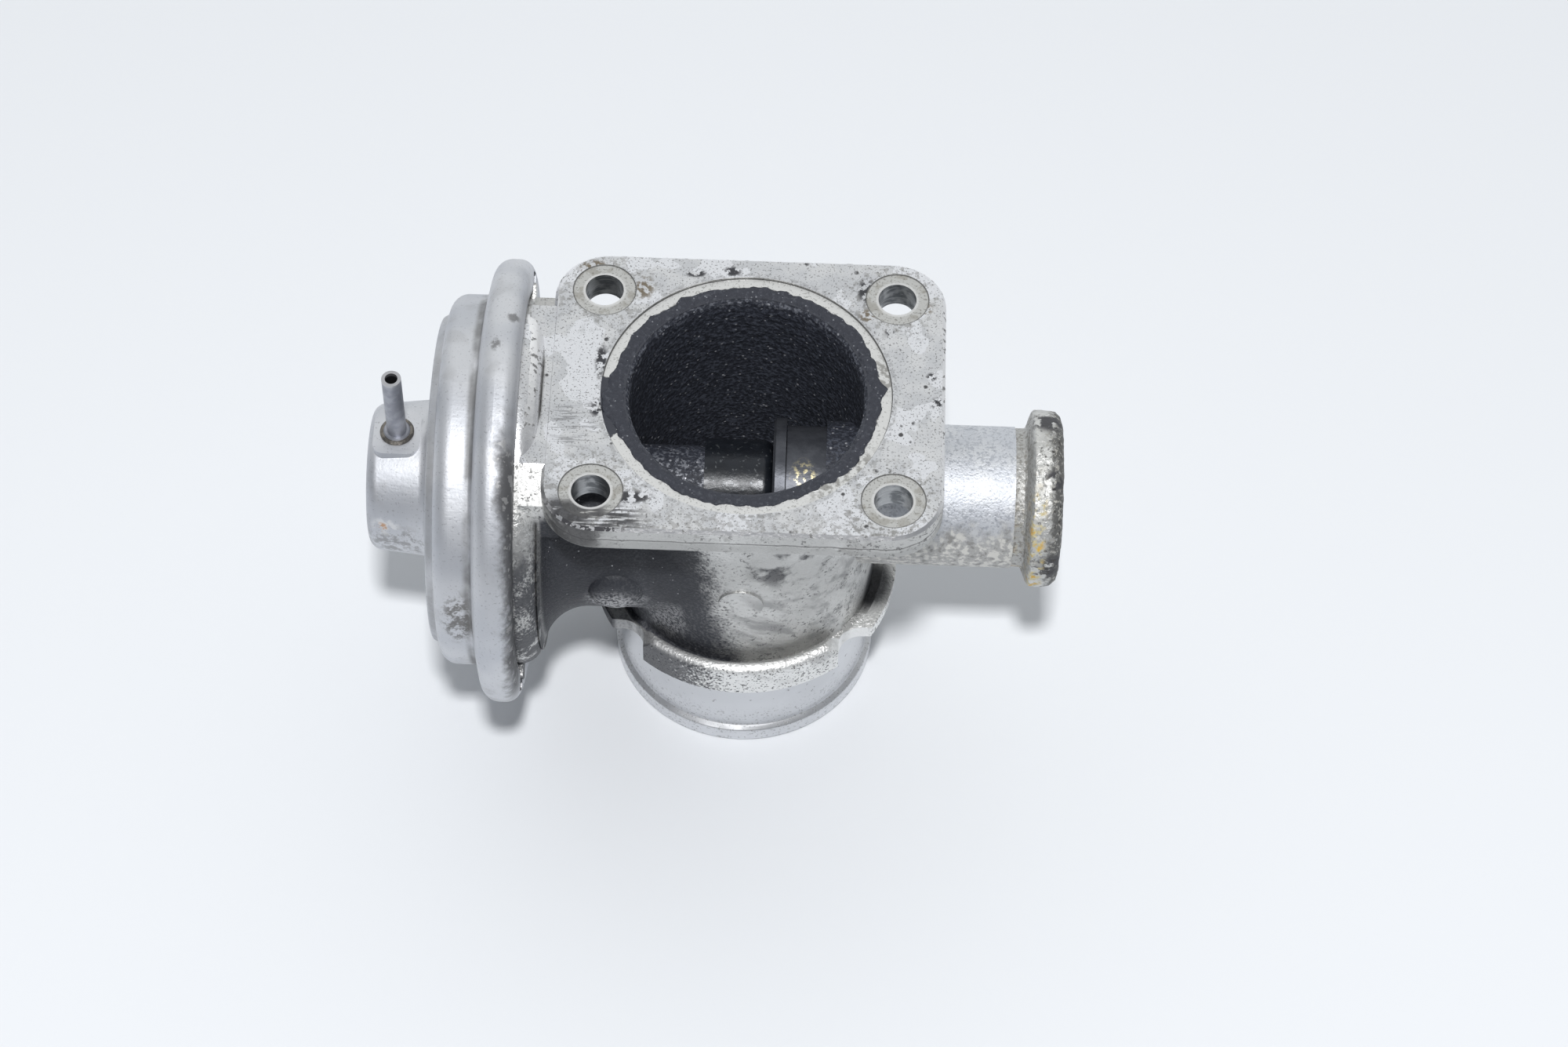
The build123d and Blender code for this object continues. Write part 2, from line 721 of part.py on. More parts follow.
# ---------------------------------------------------------------- diaphragm and its clamp
# Moulded rubber diaphragm: thick bead in the rolled rim, one fold, and a flat centre.
with BuildPart() as diaphragm:
    with BuildSketch(valve_plane):
        with BuildLine():
            FilletPolyline(
                (diaphragm_x, stem_tail_r),
                (diaphragm_x, fold_inner_r + rubber),
                (fold_x, fold_inner_r + rubber),
                (fold_x, fold_outer_r - rubber),
                (bowl_mouth_x, fold_outer_r - rubber),
                (bowl_mouth_x, bead_outer_r),
                (bead_crest_x, bead_outer_r),
                (bead_foot_x, bead_inner_r),
                (bowl_mouth_x - rubber, bead_inner_r),
                (bowl_mouth_x - rubber, fold_outer_r),
                (fold_x - rubber, fold_outer_r),
                (fold_x - rubber, fold_inner_r),
                (diaphragm_front_x, fold_inner_r),
                (diaphragm_front_x, stem_tail_r),
                radius=[0, fold_round, fold_round, 0, 0, bead_round, 0.5, 0, 0]
                + [fold_round + rubber, fold_round + rubber, 0.3],
            )
            Line((diaphragm_front_x, stem_tail_r), (diaphragm_x, stem_tail_r))
        make_face()
    revolve(axis=valve_axis)
write(diaphragm, "diaphragm")

# Pressed plate behind the diaphragm, its edge turned away from the rubber.
with BuildPart() as diaphragm_plate:
    with BuildSketch(valve_plane):
        with BuildLine():
            FilletPolyline(
                (diaphragm_x, stem_tail_r),
                (diaphragm_x, plate_r),
                (plate_x + plate_lip, plate_r),
                (plate_x + plate_lip, plate_r - plate),
                (plate_x, plate_r - plate),
                (plate_x, stem_tail_r),
                radius=[1.5 * plate, 0, 0, plate / 2],
            )
            Line((plate_x, stem_tail_r), (diaphragm_x, stem_tail_r))
        make_face()
    revolve(axis=valve_axis)
write(diaphragm_plate, "diaphragm_plate")

# Pressed cup in front of the diaphragm that the spring stands in.
with BuildPart() as spring_cup:
    with BuildSketch(valve_plane):
        with BuildLine():
            FilletPolyline(
                (diaphragm_front_x, stem_tail_r),
                (diaphragm_front_x, cup_r),
                (cup_x - cup_lip, cup_r),
                (cup_x - cup_lip, cup_r - plate),
                (cup_x, cup_r - plate),
                (cup_x, stem_tail_r),
                radius=[1.5 * plate, 0, 0, plate / 2],
            )
            Line((cup_x, stem_tail_r), (diaphragm_front_x, stem_tail_r))
        make_face()
    revolve(axis=valve_axis)
write(spring_cup, "spring_cup")

# Washer under the stem's headed tail.
with BuildPart() as clamp_washer:
    with BuildSketch(across(cup_x)):
        Circle(washer_r)
        Circle(stem_tail_r, mode=Mode.SUBTRACT)
    extrude(amount=-washer_thickness)
write(clamp_washer, "clamp_washer")

# ---------------------------------------------------------------- return spring
# Coil spring between the cup and the end of the dome.
with BuildPart() as return_spring:
    with BuildLine() as coil:
        Helix(
            spring_pitch,
            spring_length - 2 * wire_r,
            spring_mean_r,
            center=(dome_inside_x + wire_r, 0, axis_height),
            direction=(1, 0, 0),
        )
    with BuildSketch(Plane(origin=coil.line @ 0, z_dir=coil.line % 0)):
        Circle(wire_r)
    sweep(is_frenet=True)
write(return_spring, "return_spring")

# ---------------------------------------------------------------- actuator cover


def cover_section(inset):
    """Half section of the cover's outside, or of its inside where inset is the sheet's thickness."""
    with BuildSketch(valve_plane) as section:
        with BuildLine():
            FilletPolyline(
                (dome_end_x + inset, 0),
                (dome_end_x + inset, dome_end_r - inset),
                (dome_root_x + inset, dome_root_r - inset),
                (plateau_x + inset, plateau_r - inset),
                (can_face_x + inset, plateau_r + plateau_step - inset),
                (can_face_x + inset, can_r - inset),
                (rim_left_x + inset, can_r - inset),
                (rim_crest_x + inset, rim_r - inset),
                (rim_right_x - inset, rim_r - inset),
                (rim_right_x - inset, 0),
                radius=[
                    dome_round - inset,
                    dome_root_round + inset,
                    plateau_round,
                    plateau_round,
                    can_corner_r - inset,
                    can_root_round + inset,
                    rim_left_round - inset,
                    rim_right_round - inset,
                ],
            )
            Line((rim_right_x - inset, 0), (dome_end_x + inset, 0))
        make_face()
    return section.sketch


# Pressed steel cover: dome, face, can wall and the rim rolled over the bowl's flange.
with BuildPart() as actuator_cover:
    revolve(cover_section(0), axis=valve_axis)
    with BuildSketch(Plane.XY.offset(nipple_pad_z)):
        with Locations((nipple_x, 0)):
            RectangleRounded(pad_length, pad_width, pad_corner_r)
    extrude(amount=-nipple_pad_rise)
    revolve(cover_section(sheet), axis=valve_axis, mode=Mode.SUBTRACT)
    with BuildSketch(across(rim_right_x)):
        Circle(rim_lip_r)
    extrude(amount=-sheet, mode=Mode.SUBTRACT)
    ear_openings = ear_pair(rim_right_x, bowl_r, breather_r, ear_width + 2 * ear_clearance)
    extrude(ear_openings, amount=-rim_right_round, mode=Mode.SUBTRACT)
    with BuildSketch(Plane.XY.offset(nipple_pad_z)):
        with Locations((nipple_x, 0)):
            Circle(nipple_r)
    extrude(amount=-nipple_pad_rise, mode=Mode.SUBTRACT)
write(actuator_cover, "actuator_cover")

# Steel nipple for the vacuum hose, with a collar that stands on the pad.
with BuildPart() as vacuum_nipple:
    with BuildSketch(Plane(origin=(nipple_x, 0, nipple_foot_z))):
        Circle(nipple_r)
    extrude(amount=nipple_top_z - nipple_foot_z)
    with BuildSketch(Plane(origin=(nipple_x, 0, nipple_pad_z))):
        Circle(nipple_collar_r)
    extrude(amount=nipple_collar_height)
    collar_edges = edges().filter_by(GeomType.CIRCLE).sort_by(Axis.Z).filter_by(lambda e: e.radius > nipple_r)
    chamfer(collar_edges[-1], collar_chamfer)
    with BuildSketch(Plane(origin=(nipple_x, 0, nipple_foot_z))):
        Circle(nipple_bore_r)
    extrude(amount=nipple_top_z - nipple_foot_z, mode=Mode.SUBTRACT)
write(vacuum_nipple, "vacuum_nipple")

# Ring of braze that seals the nipple's collar to the pad.
with BuildPart() as nipple_braze:
    with BuildSketch(Plane(origin=(nipple_x, 0, nipple_pad_z))):
        Circle(braze_r)
        Circle(nipple_collar_r, mode=Mode.SUBTRACT)
    extrude(amount=braze_height)
    chamfer(faces().sort_by(Axis.Z)[-1].outer_wire().edges(), braze_height / 2)
write(nipple_braze, "nipple_braze")
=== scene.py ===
import math

import bmesh
import bpy
from mathutils import Matrix, Vector, noise


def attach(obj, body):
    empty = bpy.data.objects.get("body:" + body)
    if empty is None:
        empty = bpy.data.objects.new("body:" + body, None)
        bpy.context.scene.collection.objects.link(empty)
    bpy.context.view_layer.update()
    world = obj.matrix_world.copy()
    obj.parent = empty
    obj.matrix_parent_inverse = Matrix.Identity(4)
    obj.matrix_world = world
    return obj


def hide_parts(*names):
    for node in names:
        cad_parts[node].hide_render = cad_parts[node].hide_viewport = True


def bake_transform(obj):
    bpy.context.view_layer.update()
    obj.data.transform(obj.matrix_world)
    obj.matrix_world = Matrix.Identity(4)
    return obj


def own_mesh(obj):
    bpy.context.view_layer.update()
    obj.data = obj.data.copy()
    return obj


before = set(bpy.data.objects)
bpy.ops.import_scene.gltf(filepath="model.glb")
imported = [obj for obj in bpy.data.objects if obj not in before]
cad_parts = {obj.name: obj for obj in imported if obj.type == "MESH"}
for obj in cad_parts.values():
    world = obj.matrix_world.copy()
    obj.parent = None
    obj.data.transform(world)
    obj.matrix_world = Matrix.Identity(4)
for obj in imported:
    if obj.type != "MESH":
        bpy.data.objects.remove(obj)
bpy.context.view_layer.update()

# ---------------------------------------------------------------- studio
# Camera above the front of the valve, looking down on the flange, with the actuator on the left.
camera_place = Vector((0.013066, -0.468647, 0.734631))
camera_turn_left = math.radians(0.599)
camera_look_down = math.radians(55.898)
camera_roll = math.radians(1.441)
camera_film_mm = 36
camera_lens_mm = 91

forward = Vector((
    -math.sin(camera_turn_left) * math.cos(camera_look_down),
    math.cos(camera_turn_left) * math.cos(camera_look_down),
    -math.sin(camera_look_down),
))
level = Vector((math.cos(camera_turn_left), math.sin(camera_turn_left), 0))
upright = level.cross(forward)
camera_right = math.cos(camera_roll) * level + math.sin(camera_roll) * upright
camera_up = math.cos(camera_roll) * upright - math.sin(camera_roll) * level
camera = bpy.data.objects.new("camera", bpy.data.cameras.new("camera"))
camera.data.sensor_width = camera_film_mm
camera.data.lens = camera_lens_mm
camera.matrix_world = (
    Matrix.Translation(camera_place) @ Matrix((camera_right, camera_up, -forward)).transposed().to_4x4()
)
bpy.context.scene.collection.objects.link(camera)
bpy.context.scene.camera = camera

# Pale table that the spigot stands on.
floor_half = 1.6
floor_tint = (0.78, 0.80, 0.83, 1)
floor_roughness = 0.6

floor_shape = bmesh.new()
bmesh.ops.create_grid(floor_shape, x_segments=1, y_segments=1, size=floor_half)
floor_mesh = bpy.data.meshes.new("table")
floor_shape.to_mesh(floor_mesh)
floor = bpy.data.objects.new("table", floor_mesh)
floor_paint = bpy.data.materials.new("table_paint")
floor_paint.use_nodes = True
floor_paint.node_tree.nodes["Principled BSDF"].inputs["Base Color"].default_value = floor_tint
floor_paint.node_tree.nodes["Principled BSDF"].inputs["Roughness"].default_value = floor_roughness
floor_mesh.materials.append(floor_paint)
bpy.context.scene.collection.objects.link(floor)

# One small softbox high in front, in a dim room that brightens towards the back wall.
softbox_size = 0.12
softbox_place = Vector((0.02, -0.62, 1.50))
softbox_aim = Vector((0, 0, 0.05))
softbox_power = 19.5
room_dim = (0.20, 0.21, 0.225, 1)
room_bright = (0.98, 1.0, 1.0, 1)
room_bright_side = Vector((-0.05, 0.99, 0.10))
room_dim_from = -0.1
room_bright_from = 0.9
# Sockets of a Mix node that mixes colours: the two colours and the result
mix_first = 6
mix_second = 7
mix_result = 2

softbox = bpy.data.objects.new("softbox", bpy.data.lights.new("softbox", "AREA"))
softbox.data.size = softbox_size
softbox.data.energy = softbox_power
softbox_turn = (softbox_aim - softbox_place).to_track_quat("-Z", "Y").to_matrix().to_4x4()
softbox.matrix_world = Matrix.Translation(softbox_place) @ softbox_turn
bpy.context.scene.collection.objects.link(softbox)

room = bpy.data.worlds.new("room")
bpy.context.scene.world = room
room.use_nodes = True
room_nodes = room.node_tree.nodes
room_links = room.node_tree.links
room_side = room_nodes.new("ShaderNodeVectorMath")
room_side.operation = "DOT_PRODUCT"
room_side.inputs[1].default_value = room_bright_side
room_fade = room_nodes.new("ShaderNodeMapRange")
room_fade.inputs["From Min"].default_value = room_dim_from
room_fade.inputs["From Max"].default_value = room_bright_from
room_tint = room_nodes.new("ShaderNodeMix")
room_tint.data_type = "RGBA"
room_tint.inputs[mix_first].default_value = room_dim
room_tint.inputs[mix_second].default_value = room_bright
room_links.new(room_nodes.new("ShaderNodeTexCoord").outputs["Generated"], room_side.inputs[0])
room_links.new(room_side.outputs["Value"], room_fade.inputs["Value"])
room_links.new(room_fade.outputs["Result"], room_tint.inputs["Factor"])
room_links.new(room_tint.outputs[mix_result], room_nodes["Background"].inputs["Color"])
bpy.context.scene.view_settings.view_transform = "Standard"

# ---------------------------------------------------------------- valve body
# Sand-cast aluminium body, machined on the flange, in the holes and on the spigot.
# Exhaust gas has lined its duct with soot.
axis_height = 0.055
duct_axis = ((0, 0, 0), (1, 1, 0))  # a point on it, and the directions across it
duct_r = 0.0244
recess_r = 0.02945
flange_top = 0.0887
bolt_place = Vector((0.030, 0.025, 0))
bolt_hole_r = 0.0039
spotface_r = 0.00655
flange_edge_break = 0.0006
spigot_top = 0.0259
arm_start = 0.0285
arm_r = 0.0149
spigot_reach = 0.029  # further out than the bead
bolt_hole_foot = 0.07
recess_depth = 0.0007  # with a little to spare
off_bore = 0.0002  # how far a bore's faces lie from its radius, as they are flat
faces_up = 0.9  # least upward part of a level face's normal
edge_faces_up = 0.3
sharp_angle = math.radians(28)
grain_roughness = 0.55
spot_core = 0.45  # share of a spot's reach that is full
merge_distance = 1e-7


class Finish:
    """A finish for one of the valve's surfaces, laid up in coats on the piece's own coordinates."""

    def __init__(self, name, colour, metallic, roughness):
        self.material = bpy.data.materials.new(name)
        self.material.use_nodes = True
        self.nodes = self.material.node_tree.nodes
        self.links = self.material.node_tree.links
        self.shader = self.nodes["Principled BSDF"]
        self.shader.inputs["Base Color"].default_value = (*colour, 1)
        self.shader.inputs["Metallic"].default_value = metallic
        self.shader.inputs["Roughness"].default_value = roughness
        self.place = self.nodes.new("ShaderNodeTexCoord").outputs["Object"]

    def node(self, kind, sockets, output=0, **settings):
        """Adds a node; a socket is given either a value or the output that feeds it."""
        made = self.nodes.new("ShaderNode" + kind)
        for name, value in settings.items():
            setattr(made, name, value)
        for key, value in sockets.items():
            if isinstance(value, bpy.types.NodeSocket):
                self.links.new(value, made.inputs[key])
            else:
                made.inputs[key].default_value = value
        return made.outputs[output]

    def sum(self, kind, first, second=0.0):
        """A number from one or two others."""
        return self.node("Math", {0: first, 1: second}, operation=kind)

    def grain(self, size, detail=2.0, squeeze=(1, 1, 1), start=(0, 0, 0), turn=0.0):
        """Noise with features of this size; squeeze above 1 packs it closer along that axis.

        The axes are first turned about Y by an angle.
        """
        turned = self.node("VectorRotate", {"Vector": self.place, "Angle": turn}, rotation_type="Y_AXIS")
        moved = self.node("Mapping", {"Vector": turned, "Location": start, "Scale": squeeze})
        sockets = {"Vector": moved, "Scale": 1 / size, "Detail": detail, "Roughness": grain_roughness}
        return self.node("TexNoise", sockets)

    def pits(self, size, start=(0, 0, 0)):
        """Distance to scattered points, this far apart on average, in shares of that."""
        moved = self.node("Mapping", {"Vector": self.place, "Location": start})
        return self.node("TexVoronoi", {"Vector": moved, "Scale": 1 / size})

    def rise(self, value, low, high):
        """0 below low, 1 above high, and smooth between; low above high turns it round."""
        return self.node(
            "MapRange",
            {"Value": value, "From Min": low, "From Max": high},
            interpolation_type="SMOOTHSTEP",
        )

    def along(self, axis):
        """The coordinate along X, Y or Z."""
        return self.node("SeparateXYZ", {"Vector": self.place}, output="XYZ".index(axis))

    def away(self, centre, across, quarters=False):
        """Distance from a point or an axis; across is 1 for the directions that count."""
        place = self.place
        if quarters:
            place = self.node("VectorMath", {0: place}, operation="ABSOLUTE")
        place = self.node("VectorMath", {0: place, 1: centre}, operation="SUBTRACT")
        place = self.node("VectorMath", {0: place, 1: across}, operation="MULTIPLY")
        return self.node("VectorMath", {0: place}, output=1, operation="LENGTH")

    def near(self, centre, reach, across=(1, 1, 1)):
        """1 about a point, and 0 beyond this reach of it."""
        return self.rise(self.away(centre, across), reach, spot_core * reach)

    def spot(self, x, y, reach, across_x=1, across_y=1):
        """As near, but at any height."""
        return self.near((x, y, 0), reach, (across_x, across_y, 0))

    def beside(self, value, middle, reach, core):
        """1 within the core of a line or plane at this value, and 0 beyond its reach."""
        return self.rise(self.sum("ABSOLUTE", self.sum("SUBTRACT", value, middle)), reach, core)

    def wander(self, value, grain, swing):
        """A distance that a grain makes uneven, by this much in all."""
        return self.sum("ADD", value, self.sum("MULTIPLY", self.sum("SUBTRACT", grain, 0.5), swing))

    def both(self, *masks):
        """Where all the masks are."""
        joined = masks[0]
        for mask in masks[1:]:
            joined = self.sum("MULTIPLY", joined, mask)
        return joined

    def either(self, *masks):
        """Where any of the masks is."""
        joined = masks[0]
        for mask in masks[1:]:
            joined = self.sum("MAXIMUM", joined, mask)
        return joined

    def outside(self, mask):
        """Where the mask isn't."""
        return self.sum("SUBTRACT", 1.0, mask)

    def coat(self, mask, colour=None, roughness=None, metallic=None):
        """Lays a colour, a roughness or a share of metal over what is there, where the mask is."""
        if colour:
            self.lay("Base Color", mask, (*colour, 1), "RGBA", mix_first, mix_second, mix_result)
        if roughness is not None:
            self.lay("Roughness", mask, roughness)
        if metallic is not None:
            self.lay("Metallic", mask, metallic)

    def lay(self, name, mask, value, kind="FLOAT", first=2, second=3, result=0):
        """Mixes a value over what feeds one of the shader's sockets, by a Mix node's own sockets."""
        socket = self.shader.inputs[name]
        before = socket.links[0].from_socket if socket.links else socket.default_value
        sockets = {"Factor": mask, first: before, second: value}
        mixed = self.node("Mix", sockets, output=result, data_type=kind)
        self.links.new(mixed, socket)

    def relief(self, *layers):
        """Bumps, each given as its height from 0 to 1 and its depth in metres."""
        normal = None
        for height, depth in layers:
            sockets = {"Height": height, "Distance": depth}
            if normal:
                sockets["Normal"] = normal
            normal = self.node("Bump", sockets)
        self.links.new(normal, self.shader.inputs["Normal"])


def casting():
    """Sand-cast skin: bright in front with a painted highlight along the collar, black and oily between the
    duct and the actuator, with painted shade there too.
    """
    skin = Finish("sand_cast_skin", (0.52, 0.52, 0.51), 0.9, 0.42)
    x = skin.along("X")
    y = skin.along("Y")
    z = skin.along("Z")
    radius = skin.away(*duct_axis)
    sand = skin.grain(0.00055, 3)
    coarse = skin.grain(0.0011, 2, start=(3, 1, 2))
    blotch = skin.grain(0.006, 4, start=(1, 5, 2))
    wide = skin.grain(0.020, 2, start=(7, 2, 5))
    pepper = skin.wander(sand, coarse, 0.9)
    skin.coat(skin.rise(wide, 0.38, 0.62), (0.66, 0.66, 0.65))
    peppered = skin.both(skin.rise(pepper, 0.42, 0.34), skin.rise(blotch, 0.36, 0.60), 0.8)
    skin.coat(peppered, (0.14, 0.14, 0.14), 0.6, 0.3)
    collar = skin.both(skin.rise(z, 0.0352, 0.0342), skin.rise(radius, 0.0282, 0.0292))
    wall = skin.both(collar, skin.rise(radius, 0.0314, 0.0322))
    # Painted highlight: the whole collar is painted light for the highlight along its ridge
    skin.coat(collar, (0.86, 0.86, 0.85), 0.45)
    skin.coat(skin.both(wall, skin.rise(sand, 0.44, 0.38), 0.85), (0.09, 0.09, 0.09), 0.6, 0.3)
    # Dragged dirt across the front of the duct, a darker patch under the flange, and painted shade in the
    # groove between the duct and the collar on the right
    drag = skin.grain(0.0032, 4, squeeze=(0.25, 1, 1), turn=-0.56)
    dragged = skin.both(skin.near((0.0125, -0.0240, 0.0450), 0.020, (1, 0.3, 1)), skin.rise(drag, 0.44, 0.64))
    under = skin.both(
        skin.near((0.0100, -0.0245, 0.0645), 0.0085, (0.8, 0.3, 1)), skin.rise(blotch, 0.42, 0.55)
    )
    # Painted shade in the groove between the duct and the collar on the right
    corner = skin.near((0.0272, -0.0050, 0.0290), 0.0070, (1.2, 0.8, 0.7))
    skin.coat(skin.both(dragged, 0.55), (0.17, 0.17, 0.175), 0.55, 0.5)
    skin.coat(skin.either(skin.both(under, 0.8), skin.both(corner, 0.9)), (0.035, 0.037, 0.045), 0.6, 0.2)
    # Rim of the flange: stained, with the mould's uneven joint line round it
    rim = skin.rise(z, 0.0818, 0.0826)
    joint = skin.beside(skin.wander(z, blotch, 0.0016), 0.0850, 0.0003, 0.0001)
    stained = skin.both(rim, skin.rise(blotch, 0.52, 0.62), skin.rise(x, 0.0300, 0.0200), 0.45)
    lower_half = skin.both(rim, skin.rise(skin.wander(z, blotch, 0.004), 0.0848, 0.0840), 0.3)
    skin.coat(stained, (0.19, 0.185, 0.175), 0.6, 0.3)
    skin.coat(lower_half, (0.26, 0.26, 0.255), 0.6)
    skin.coat(skin.both(rim, joint, 0.6), (0.06, 0.06, 0.06), 0.7, 0.1)
    scorched = skin.near((-0.0350, -0.0335, 0.0860), 0.0090, (0.8, 1, 1))
    skin.coat(skin.both(rim, scorched, skin.rise(blotch, 0.36, 0.50), 0.85), (0.045, 0.045, 0.048), 0.6, 0.2)
    # Oil and soot, and painted shade on the left of the duct and neck, which turn away from the light
    bowl = skin.rise(x, -0.0400, -0.0410)
    lean = skin.sum("ADD", x, skin.sum("MULTIPLY", z, 0.19))
    duct_oil_and_shade = skin.both(
        skin.rise(skin.wander(skin.wander(lean, blotch, 0.012), sand, 0.012), 0.0080, 0.0005),
        skin.outside(collar), skin.outside(bowl), skin.outside(rim),
        skin.either(skin.rise(y, 0.0060, -0.0060), skin.rise(blotch, 0.40, 0.60)),
    )
    oily_collar = skin.both(
        collar, skin.rise(skin.wander(skin.wander(x, blotch, 0.008), sand, 0.040), -0.0020, -0.0110),
        skin.rise(y, 0.0100, 0.0000), skin.sum("SUBTRACT", 0.86, skin.both(skin.outside(wall), 0.35)),
    )
    low_bowl = skin.rise(skin.wander(skin.wander(z, blotch, 0.022), sand, 0.008), 0.0800, 0.0690)
    crackled = skin.rise(skin.wander(blotch, sand, 0.60), 0.68, 0.50)
    oily_bowl = skin.both(bowl, low_bowl, crackled, skin.rise(y, 0.0080, -0.0040), 0.9)
    oily = skin.either(duct_oil_and_shade, oily_collar, oily_bowl)
    skin.coat(oily, (0.040, 0.043, 0.052), 0.55, 0.2)
    skin.coat(skin.both(oily, skin.rise(sand, 0.45, 0.68)), (0.105, 0.108, 0.118))
    # Painted shadow of the flange on the neck and the left of the duct below it
    flange_shadow = skin.either(
        skin.near((-0.0350, -0.0180, 0.0620), 0.0240),
        skin.near((-0.0130, -0.0245, 0.0620), 0.0110, (1, 0.4, 0.6)),
    )
    skin.coat(skin.both(oily, flange_shadow, 0.8), (0.020, 0.022, 0.029))
    # Painted light: a lit streak on the duct below the neck's end, and the lit face of the boss on the neck
    rubbed = skin.either(
        skin.both(skin.near((-0.0160, -0.0220, 0.0405), 0.0080, (1.2, 1, 0.8)), 0.75),
        skin.near((-0.0258, -0.0200, 0.0490), 0.0075, (0.9, 0.4, 1)),
    )
    skin.coat(skin.both(oily, rubbed, skin.rise(sand, 0.38, 0.60)), (0.42, 0.42, 0.43), 0.5, 0.7)
    glints = skin.rise(skin.pits(0.0016, start=(4, 1, 1)), 0.13, 0.07)
    skin.coat(skin.both(oily, glints, skin.rise(coarse, 0.45, 0.60)), (0.50, 0.50, 0.52), 0.4, 0.6)
    # Sloped land beside the bowl, painted light as a highlight where it faces the light, and the thin flash
    # line below it
    land = skin.near((-0.0415, -0.0225, 0.0838), 0.0062, (1, 0.7, 0.9))
    flash = skin.near((-0.0437, -0.0271, 0.0823), 0.0014, (0.5, 0.6, 3.5))
    skin.coat(skin.both(land, skin.rise(pepper, 0.38, 0.46)), (0.78, 0.78, 0.77), 0.6, 0.6)
    skin.coat(flash, (0.80, 0.80, 0.78), 0.5, 0.6)
    skin.relief((coarse, 0.00016), (sand, 0.00018), (wide, 0.0004))
    return skin.material


def milled_face():
    """Flange face: milled, peppered with corrosion, and marked by oil, soot and whatever scraped it."""
    face = Finish("milled_face", (0.60, 0.61, 0.63), 0.88, 0.44)
    fine = face.grain(0.00045, 2)
    mid = face.grain(0.0013, 4, start=(6, 1, 3))
    blotch = face.grain(0.005, 4, start=(2, 0, 4))
    patch = face.grain(0.011, 2, start=(4, 3, 1))
    hole = face.away(bolt_place, (1, 1, 0), quarters=True)
    duct = face.away(*duct_axis)
    island = face.rise(face.wander(patch, blotch, 0.15), 0.53, 0.545)
    face.coat(face.rise(blotch, 0.35, 0.65), (0.70, 0.705, 0.715))
    face.coat(island, (0.79, 0.80, 0.83), 0.40)
    face.coat(face.both(face.rise(fine, 0.43, 0.34), 0.8), (0.15, 0.15, 0.15), 0.6, 0.4)
    stained = face.both(
        face.rise(face.wander(hole, blotch, 0.010), 0.0125, 0.0070), face.rise(mid, 0.50, 0.60)
    )
    face.coat(face.both(stained, 0.55), (0.15, 0.145, 0.13), 0.6, 0.3)
    rubbed_ring = face.beside(duct, 0.0300, 0.0006, 0.0002)
    face.coat(face.both(rubbed_ring, 0.35, face.rise(mid, 0.45, 0.55)), (0.20, 0.20, 0.20), 0.6)
    # Brown and ochre varnish beside the back holes
    ochre = face.either(
        face.spot(-0.0218, 0.0258, 0.0030, 1.2, 0.8), face.spot(0.0355, 0.0226, 0.0022),
        face.spot(0.0240, 0.0205, 0.0022), face.spot(-0.0325, 0.0305, 0.0030, 0.8, 1),
    )
    face.coat(face.both(ochre, face.rise(mid, 0.46, 0.54), 0.85), (0.115, 0.085, 0.045), 0.6, 0.1)
    # Soot: beside a back hole, along the back edge, and pressed past the recess
    black = face.either(
        face.spot(0.0235, 0.0268, 0.0034, 1.5, 0.8), face.spot(-0.0115, 0.0300, 0.0018, 0.6, 1.3),
        face.spot(-0.0040, 0.0308, 0.0017, 0.7, 1), face.spot(-0.0297, 0.0070, 0.0042, 2.6, 0.8),
        face.spot(-0.0300, -0.0048, 0.0030, 1.6, 1), face.spot(0.0372, 0.0056, 0.0014),
        face.spot(0.0286, 0.0165, 0.0013), face.spot(-0.0222, -0.0262, 0.0036, 0.6, 1.8),
        face.spot(0.0385, -0.0010, 0.0020),
    )
    face.coat(face.both(black, face.rise(mid, 0.45, 0.52)), (0.030, 0.031, 0.036), 0.7, 0.0)
    # Streaks dragged across the front left corner, and stains along the front edge
    dragged = face.grain(0.0012, 4, squeeze=(0.16, 1.3, 1), start=(0.4, 0.2, 0))
    smear = face.both(
        face.spot(-0.0305, -0.0318, 0.0125, 0.8, 1.9), face.rise(dragged, 0.40, 0.50)
    )
    front = face.both(
        face.rise(face.wander(face.along("Y"), blotch, 0.012), -0.0255, -0.0330), face.rise(mid, 0.46, 0.58)
    )
    face.coat(face.both(front, 0.55), (0.17, 0.165, 0.155), 0.6, 0.3)
    thick = face.both(face.spot(-0.0335, -0.0300, 0.0075, 0.8, 1.5), face.rise(dragged, 0.30, 0.42))
    face.coat(face.both(face.either(smear, thick), 0.93), (0.030, 0.030, 0.034), 0.6, 0.1)
    flecks = face.rise(face.pits(0.0042, start=(2, 7, 0)), 0.15, 0.09)
    face.coat(face.both(flecks, face.rise(blotch, 0.46, 0.56)), (0.06, 0.06, 0.062), 0.7, 0.1)
    # Fine scratches that something brushed across the left side
    scuff = face.both(
        face.spot(-0.0340, -0.0085, 0.0068, 1, 0.8),
        face.rise(face.grain(0.0007, 3, squeeze=(0.14, 1.6, 1), start=(1, 1, 0)), 0.52, 0.60),
    )
    face.coat(face.both(scuff, 0.65), (0.24, 0.24, 0.25), 0.5)
    face.relief((fine, 0.00005), (blotch, 0.00010), (mid, 0.00005))
    return face.material


def nicked_edge_highlight():
    """Broken edge of the flange, painted light as a highlight along it, and nicked."""
    edge = Finish("nicked_edge_highlight", (0.86, 0.86, 0.87), 0.95, 0.30)
    nicks = edge.grain(0.0012, 4, start=(3, 3, 3))
    edge.coat(edge.rise(nicks, 0.56, 0.64), (0.20, 0.20, 0.20), 0.6, 0.3)
    corner = edge.spot(-0.0310, -0.0330, 0.0100, 0.8, 1)
    edge.coat(edge.both(corner, edge.rise(nicks, 0.40, 0.50)), (0.04, 0.04, 0.045), 0.6, 0.1)
    edge.relief((nicks, 0.0001))
    return edge.material


